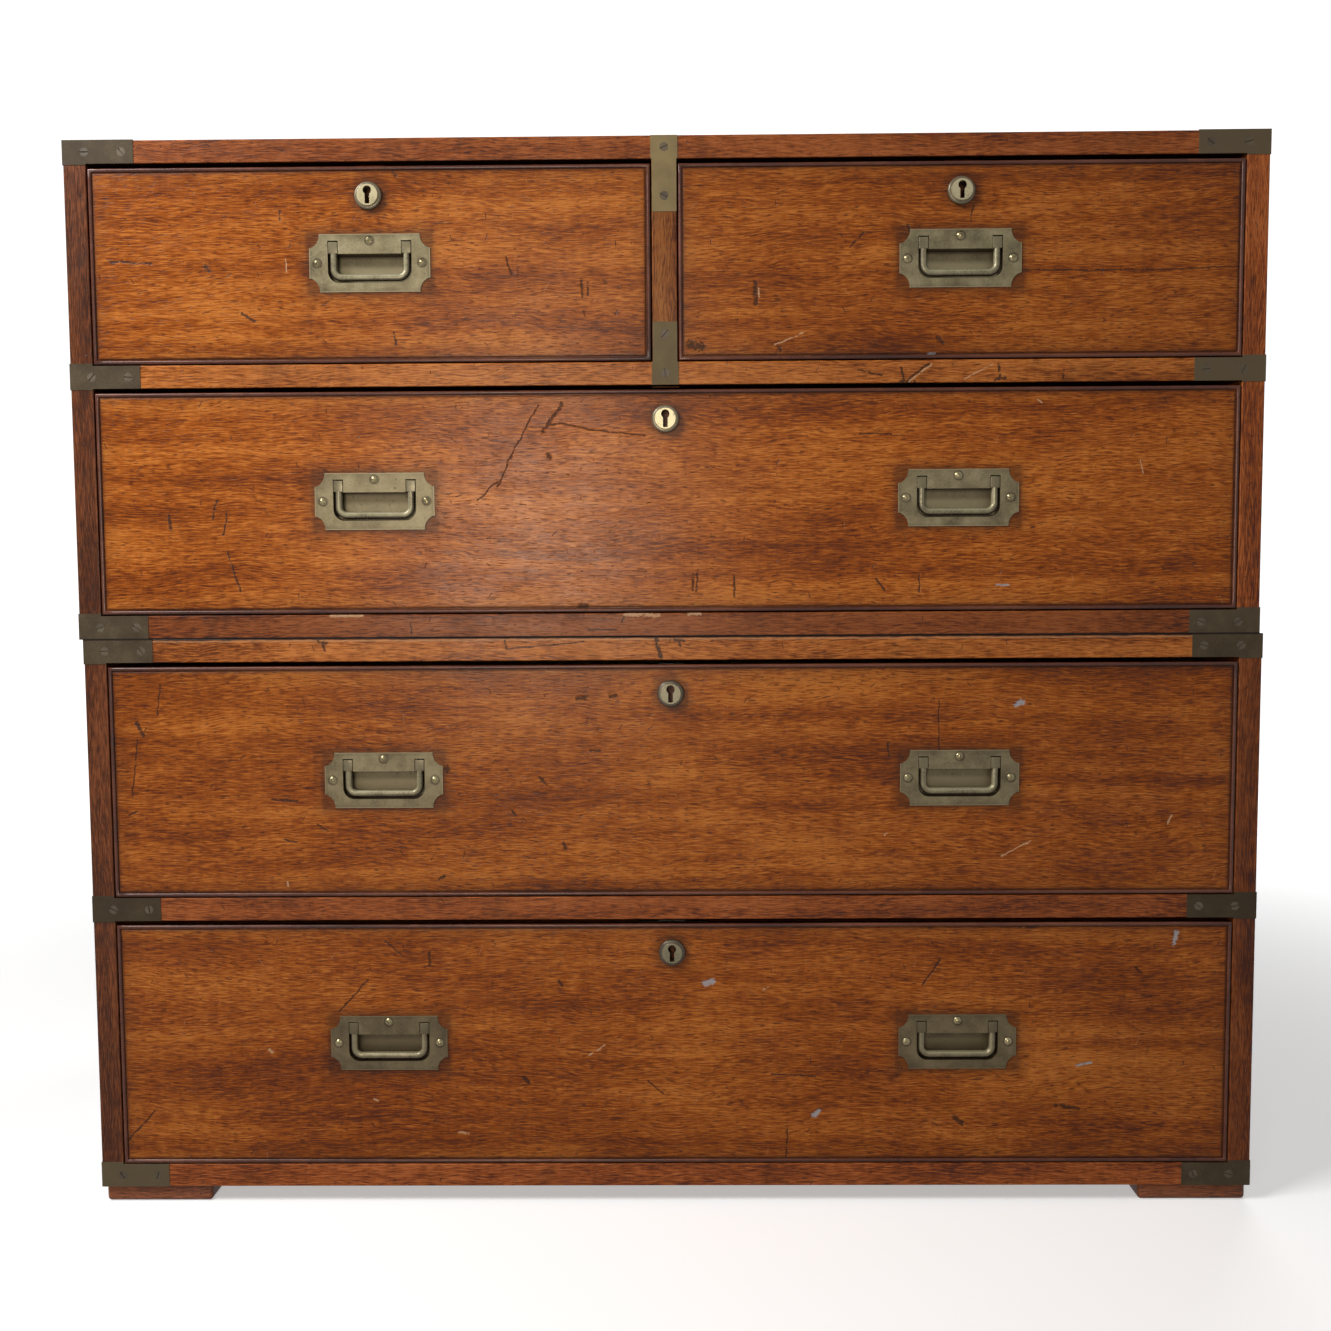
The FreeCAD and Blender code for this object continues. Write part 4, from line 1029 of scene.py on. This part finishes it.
def softened(node, name, material, width, spots=(), clear=0.0):
    """A welded copy of a node with its sharp edges rounded, without its faces within reach of the spots."""
    source = frame["nodes"][node]
    mesh = source.data.copy()
    mesh.name = name
    work = bmesh.new()
    work.from_mesh(mesh)
    bmesh.ops.remove_doubles(work, verts=work.verts, dist=2e-6)
    gone = []
    for spot in spots:
        near = {vertex for vertex in work.verts
                if (vertex.co.x - spot[0]) ** 2 + (vertex.co.z - spot[1]) ** 2 < clear * clear}
        gone += [face for face in work.faces if all(vertex in near for vertex in face.verts)]
    bmesh.ops.delete(work, geom=list(set(gone)), context="FACES")
    bmesh.ops.dissolve_limit(work, angle_limit=math.radians(1.0), verts=work.verts, edges=work.edges)
    for layer in list(work.loops.layers.float_vector.values()):
        work.loops.layers.float_vector.remove(layer)
    work.to_mesh(mesh)
    work.free()
    if "custom_normal" in mesh.attributes:
        mesh.attributes.remove(mesh.attributes["custom_normal"])
    mesh.shade_smooth()
    mesh.set_sharp_from_angle(angle=SHARP_ANGLE)
    mesh.materials.clear()
    mesh.materials.append(material)
    thing = placed(name, mesh, source["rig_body"], [node])
    bevel = thing.modifiers.new("edges", "BEVEL")
    bevel.width = width
    bevel.segments = 2
    bevel.limit_method = "ANGLE"
    bevel.angle_limit = SHARP_ANGLE
    bevel.harden_normals = True
    bevel.use_clamp_overlap = True
    return thing


def paint(node, material):
    """Gives a CAD node that keeps its shape its finish."""
    for slot in frame["nodes"][node].material_slots:
        slot.material = material


# Operators

class CHEST_OT_drawer_fronts(bpy.types.Operator):
    """Builds the five drawer fronts and the beads round them"""

    bl_idname = "chest.drawer_fronts"
    bl_label = "Drawer fronts"

    def execute(self, context):
        for index, name in enumerate(DRAWERS):
            front = Front(name)
            offset = (137.0 * index + 40.0, 53.0 * index, 211.0 * index + 17.0)
            panel = Shells(front_panel(front, index + 3))
            panel.piece(front.name + "_panel", front.name, [front.name + "_front"],
                        front_finish(front, offset), 50.0)
            bead = Shells(bead_frame(front, index + 11))
            bead.piece(front.name + "_bead", front.name, [front.name + "_front"],
                       bead_finish(front.name + "_bead_wood", offset), 50.0)
        return {"FINISHED"}


class CHEST_OT_handles(bpy.types.Operator):
    """Builds the handle plates, their domed screws and the bails"""

    bl_idname = "chest.handles"
    bl_label = "Handles"

    def execute(self, context):
        size = sizes()
        screw = Brass("plate_screw_brass", palette("plate") * 0.6, 0.85, 0.8).polished(-0.15)
        for name in DRAWERS:
            front = Front(name)
            rod = bail_finish(front)
            heads = Shells()
            spots = []
            for index, x in enumerate(front.handles):
                for number, (right, up) in enumerate(PLATE_SCREWS):
                    spots.append((x + right, front.handle_z + up))
                    middle = (x + right, PLATE_FACE, front.handle_z + up)
                    turn = 0.9 * number + 1.7 * index + front.handle_z * 9.0
                    heads.add(*screw_head(middle, (0.0, 1.0, 0.0), turn, size.dome_radius, size.dome_height,
                                          size.slot_width, True))
                side = ("_left", "_right")[index] if len(front.handles) > 1 else ""
                bail = front.name + side + "_bail"
                shells = Shells()
                bail_shells(shells, x, front.handle_z)
                shells.piece(bail + "_rod", bail, [bail], rod)
            plates = front.name + "_handle_plates"
            softened(plates, front.name + "_plates", plate_finish(front), size.brass_edge,
                     spots, SCREW_CLEAR)
            heads.piece(front.name + "_plate_screws", front.name, [plates], screw)
        return {"FINISHED"}


class CHEST_OT_locks(bpy.types.Operator):
    """Finishes the lock nozzles and bolts"""

    bl_idname = "chest.locks"
    bl_label = "Locks"

    def execute(self, context):
        shades = np.outer((0.5, 1.0, 1.4), colours().steel)
        steel = Brass("bolt_steel_old", shades, 0.8).polished(0.0)
        for name in DRAWERS:
            node = name + "_drawer_lock"
            softened(node, node + "_nozzle", nozzle_finish(Front(name)), sizes().brass_edge)
            paint(node + "_bolt", steel)
        return {"FINISHED"}


class CHEST_OT_brackets(bpy.types.Operator):
    """Builds the corner brackets, the post's straps and their flat screws"""

    bl_idname = "chest.brackets"
    bl_label = "Brackets"

    def execute(self, context):
        brass = bracket_finish()
        screw = Brass("bracket_screw_brass", palette("bracket") * 1.05, 0.2).polished(0.05)
        for case in CASES:
            node = case + "_corner_brackets"
            softened(node, node + "_soft", brass, sizes().brass_edge)
            node = case + "_bracket_screws"
            softened(node, node + "_soft", screw, sizes().screw_edge)
        return {"FINISHED"}


class CHEST_OT_case_boards(bpy.types.Operator):
    """Finishes the boards of both cases, the feet and the pegs"""

    bl_idname = "chest.case_boards"
    bl_label = "Case boards"

    def execute(self, context):
        case, rail, red = palette("case"), palette("rail"), palette("red")
        tones = {"lower": (red * 0.73, rail * 1.09, red * 1.36, red * 1.1),
                 "upper": (red * 1.28, red * 0.99, red * 0.81, rail * 1.06)}
        for number, name in enumerate(CASES):
            shift = 400.0 * number
            side, top, bottom, middle = tones[name]
            boards = (("side_left", "z", case), ("side_right", "z", side), ("top", "x", top),
                      ("bottom", "x", bottom), ("drawer_rail", "x", middle), ("runners", "y", rail),
                      ("back", "x", case))
            for index, (part, grain, shades) in enumerate(boards):
                node = name + "_" + part
                offset = (shift + 71.0 * index, 37.0 * index, shift + 93.0 * index)
                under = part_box(node)[0].z / MM if part in ("top", "drawer_rail") else None
                paint(node, board_finish(node, grain, offset, shades, under=under))
        paint("upper_post", board_finish("upper_post", "z", (13.0, 5.0, 77.0), rail * 0.57))
        dusty = board_finish("feet", "x", (3.0, 15.0, 7.0), red + 0.035, 1.6)
        softened("feet", "feet_worn", dusty, sizes().foot_edge)
        paint("locating_pegs", lining_finish("pegs", "z", (9.0, 0.0, 3.0)))
        return {"FINISHED"}


class CHEST_OT_drawer_boxes(bpy.types.Operator):
    """Finishes the drawers' sides, backs and bottoms"""

    bl_idname = "chest.drawer_boxes"
    bl_label = "Drawer boxes"

    def execute(self, context):
        sides = lining_finish("drawer_box", "y", (5.0, 9.0, 2.0))
        bottom = lining_finish("drawer_bottom", "x", (25.0, 4.0, 61.0))
        for name in DRAWERS:
            paint(name + "_drawer_box", sides)
            paint(name + "_drawer_bottom", bottom)
        return {"FINISHED"}


class CHEST_OT_stage(bpy.types.Operator):
    """Sets the camera at the photograph's angle, a pale floor and soft light"""

    bl_idname = "chest.stage"
    bl_label = "Stage"

    def execute(self, context):
        stage = context.scene.chest_stage
        context.scene.view_settings.view_transform = "Standard"
        self.floor(stage)
        self.light(stage)
        self.camera(stage)
        return {"FINISHED"}

    def floor(self, stage):
        """A floor that curves up into a backdrop: a straight, a quarter bend and a straight, run sideways."""
        bend = np.linspace(0.0, math.pi / 2.0, 13)
        reach, back, radius, height = 6.0, 1.6, 0.9, 5.0
        y = np.concatenate([[-reach], back + radius * np.sin(bend), [back + radius]])
        z = np.concatenate([[0.0], radius - radius * np.cos(bend), [height]])
        x = np.array([-reach, reach])
        points = np.stack([np.broadcast_to(x[None, :], (len(y), 2)), np.repeat(y[:, None], 2, 1),
                           np.repeat(z[:, None], 2, 1)], -1)
        mesh = bpy.data.meshes.new("floor")
        mesh.from_pydata(points.reshape(-1, 3).tolist(), [], grid_faces(len(y), 2))
        mesh.shade_smooth()
        mesh.materials.append(self.floor_paint(stage))
        floor = linked("floor", mesh)

    def floor_paint(self, stage):
        """Pale paint that the camera and the brass see white away from the chest, with its shadow near it."""
        constants = {"Roughness": 0.9, "Specular IOR Level": 0.1, "Emission Strength": 1.0}
        finish = Finish("floor_paint", constants)
        seen = seen_rays(finish)
        x, y, _ = finish.place()
        far = finish.step(distance(x, y), 700.0, 2200.0)
        glow = finish.mix(far, (0.4, 0.4, 0.4), (1.0, 1.0, 1.0))
        finish.feed("Base Color", finish.mix(seen, stage.floor_shade, stage.floor))
        finish.feed("Emission Color", finish.mix(seen, (0.0, 0.0, 0.0), glow))
        return finish.material

    def light(self, stage):
        """A soft lamp high on the left, one behind the camera with its reflection, one behind and a sky."""
        self.lamp("key", 0.8, 0.8, stage.key_power, (-1.25, -0.95, 1.75), (1.0, 1.0, 1.0))
        self.lamp("sheen", 0.42, 0.42, stage.sheen_power, (-0.3, -1.75, 0.58), (1.0, 0.88, 0.74))
        glint = self.lamp("glint", 0.42, 0.7, stage.sheen_power, (-0.27, -1.75, 0.8), (1.0, 0.9, 0.72))
        glint.visible_diffuse = False
        back = self.lamp("back", 1.0, 1.0, stage.back_power, (1.1, 1.5, 1.6), (1.0, 1.0, 1.0))
        back.visible_camera = False
        sky = Sky("sky")
        sky.feed("Strength", seen_rays(sky) * (1.0 - stage.fill) + stage.fill)
        bpy.context.scene.world = sky.world

    def lamp(self, name, wide, high, power, place, colour):
        """A flat lamp aimed at the middle of the chest."""
        light = bpy.data.lights.new(name, "AREA")
        light.shape = "RECTANGLE"
        light.size = wide
        light.size_y = high
        light.energy = power
        light.color = colour
        lamp = linked(name, light)
        middle = (0.0, -0.2, 0.5)
        lamp.matrix_world = aimed(place, middle)
        return lamp

    def camera(self, stage):
        """The camera's turns: world to lens is roll after pitch after yaw after the swap of axes."""
        lens = bpy.data.cameras.new("camera")
        lens.sensor_width = 36.0
        lens.lens = stage.lens
        swap = Matrix(((1.0, 0.0, 0.0), (0.0, 0.0, -1.0), (0.0, 1.0, 0.0)))
        turn = (Matrix.Rotation(stage.roll, 3, "Z") @ Matrix.Rotation(stage.pitch, 3, "X")
                @ Matrix.Rotation(stage.yaw, 3, "Y") @ swap)
        facing = turn.transposed() @ Matrix.Diagonal((1.0, -1.0, -1.0))
        camera = linked("camera", lens)
        camera.matrix_world = Matrix.Translation(stage.eye) @ facing.to_4x4()
        bpy.context.scene.camera = camera


def aimed(place, target):
    """A lamp's place with its light aimed at a target."""
    from_target = Vector(place) - Vector(target)
    return Matrix.Translation(place) @ from_target.to_track_quat("Z", "Y").to_matrix().to_4x4()


class CHEST_PT_looks(bpy.types.Panel):
    """Lists what dresses the chest"""

    bl_idname = "CHEST_PT_looks"
    bl_label = "Campaign chest"
    bl_space_type = "VIEW_3D"
    bl_region_type = "UI"
    bl_category = "Chest"

    def draw(self, context):
        for operator in OPERATORS:
            self.layout.operator(operator.bl_idname)
        for group in (context.scene.chest_sizes, context.scene.chest_colours, context.scene.chest_stage):
            box = self.layout.box()
            for name in group.__annotations__:
                box.prop(group, name)


OPERATORS = (CHEST_OT_drawer_fronts, CHEST_OT_handles, CHEST_OT_locks, CHEST_OT_brackets,
             CHEST_OT_case_boards, CHEST_OT_drawer_boxes, CHEST_OT_stage)
GROUPS = {"chest_sizes": ChestSizes, "chest_colours": ChestColours, "chest_stage": ChestStage}


def register():
    for group in GROUPS.values():
        bpy.utils.register_class(group)
    for name, group in GROUPS.items():
        setattr(bpy.types.Scene, name, bpy.props.PointerProperty(type=group))
    for operator in OPERATORS:
        bpy.utils.register_class(operator)
    bpy.utils.register_class(CHEST_PT_looks)


def unregister():
    bpy.utils.unregister_class(CHEST_PT_looks)
    for operator in reversed(OPERATORS):
        bpy.utils.unregister_class(operator)
    for name, group in GROUPS.items():
        delattr(bpy.types.Scene, name)
        bpy.utils.unregister_class(group)


def main():
    register()
    bpy.ops.chest.drawer_fronts()
    bpy.ops.chest.handles()
    bpy.ops.chest.locks()
    bpy.ops.chest.brackets()
    bpy.ops.chest.case_boards()
    bpy.ops.chest.drawer_boxes()
    bpy.ops.chest.stage()


if __name__ == "__main__":
    main()
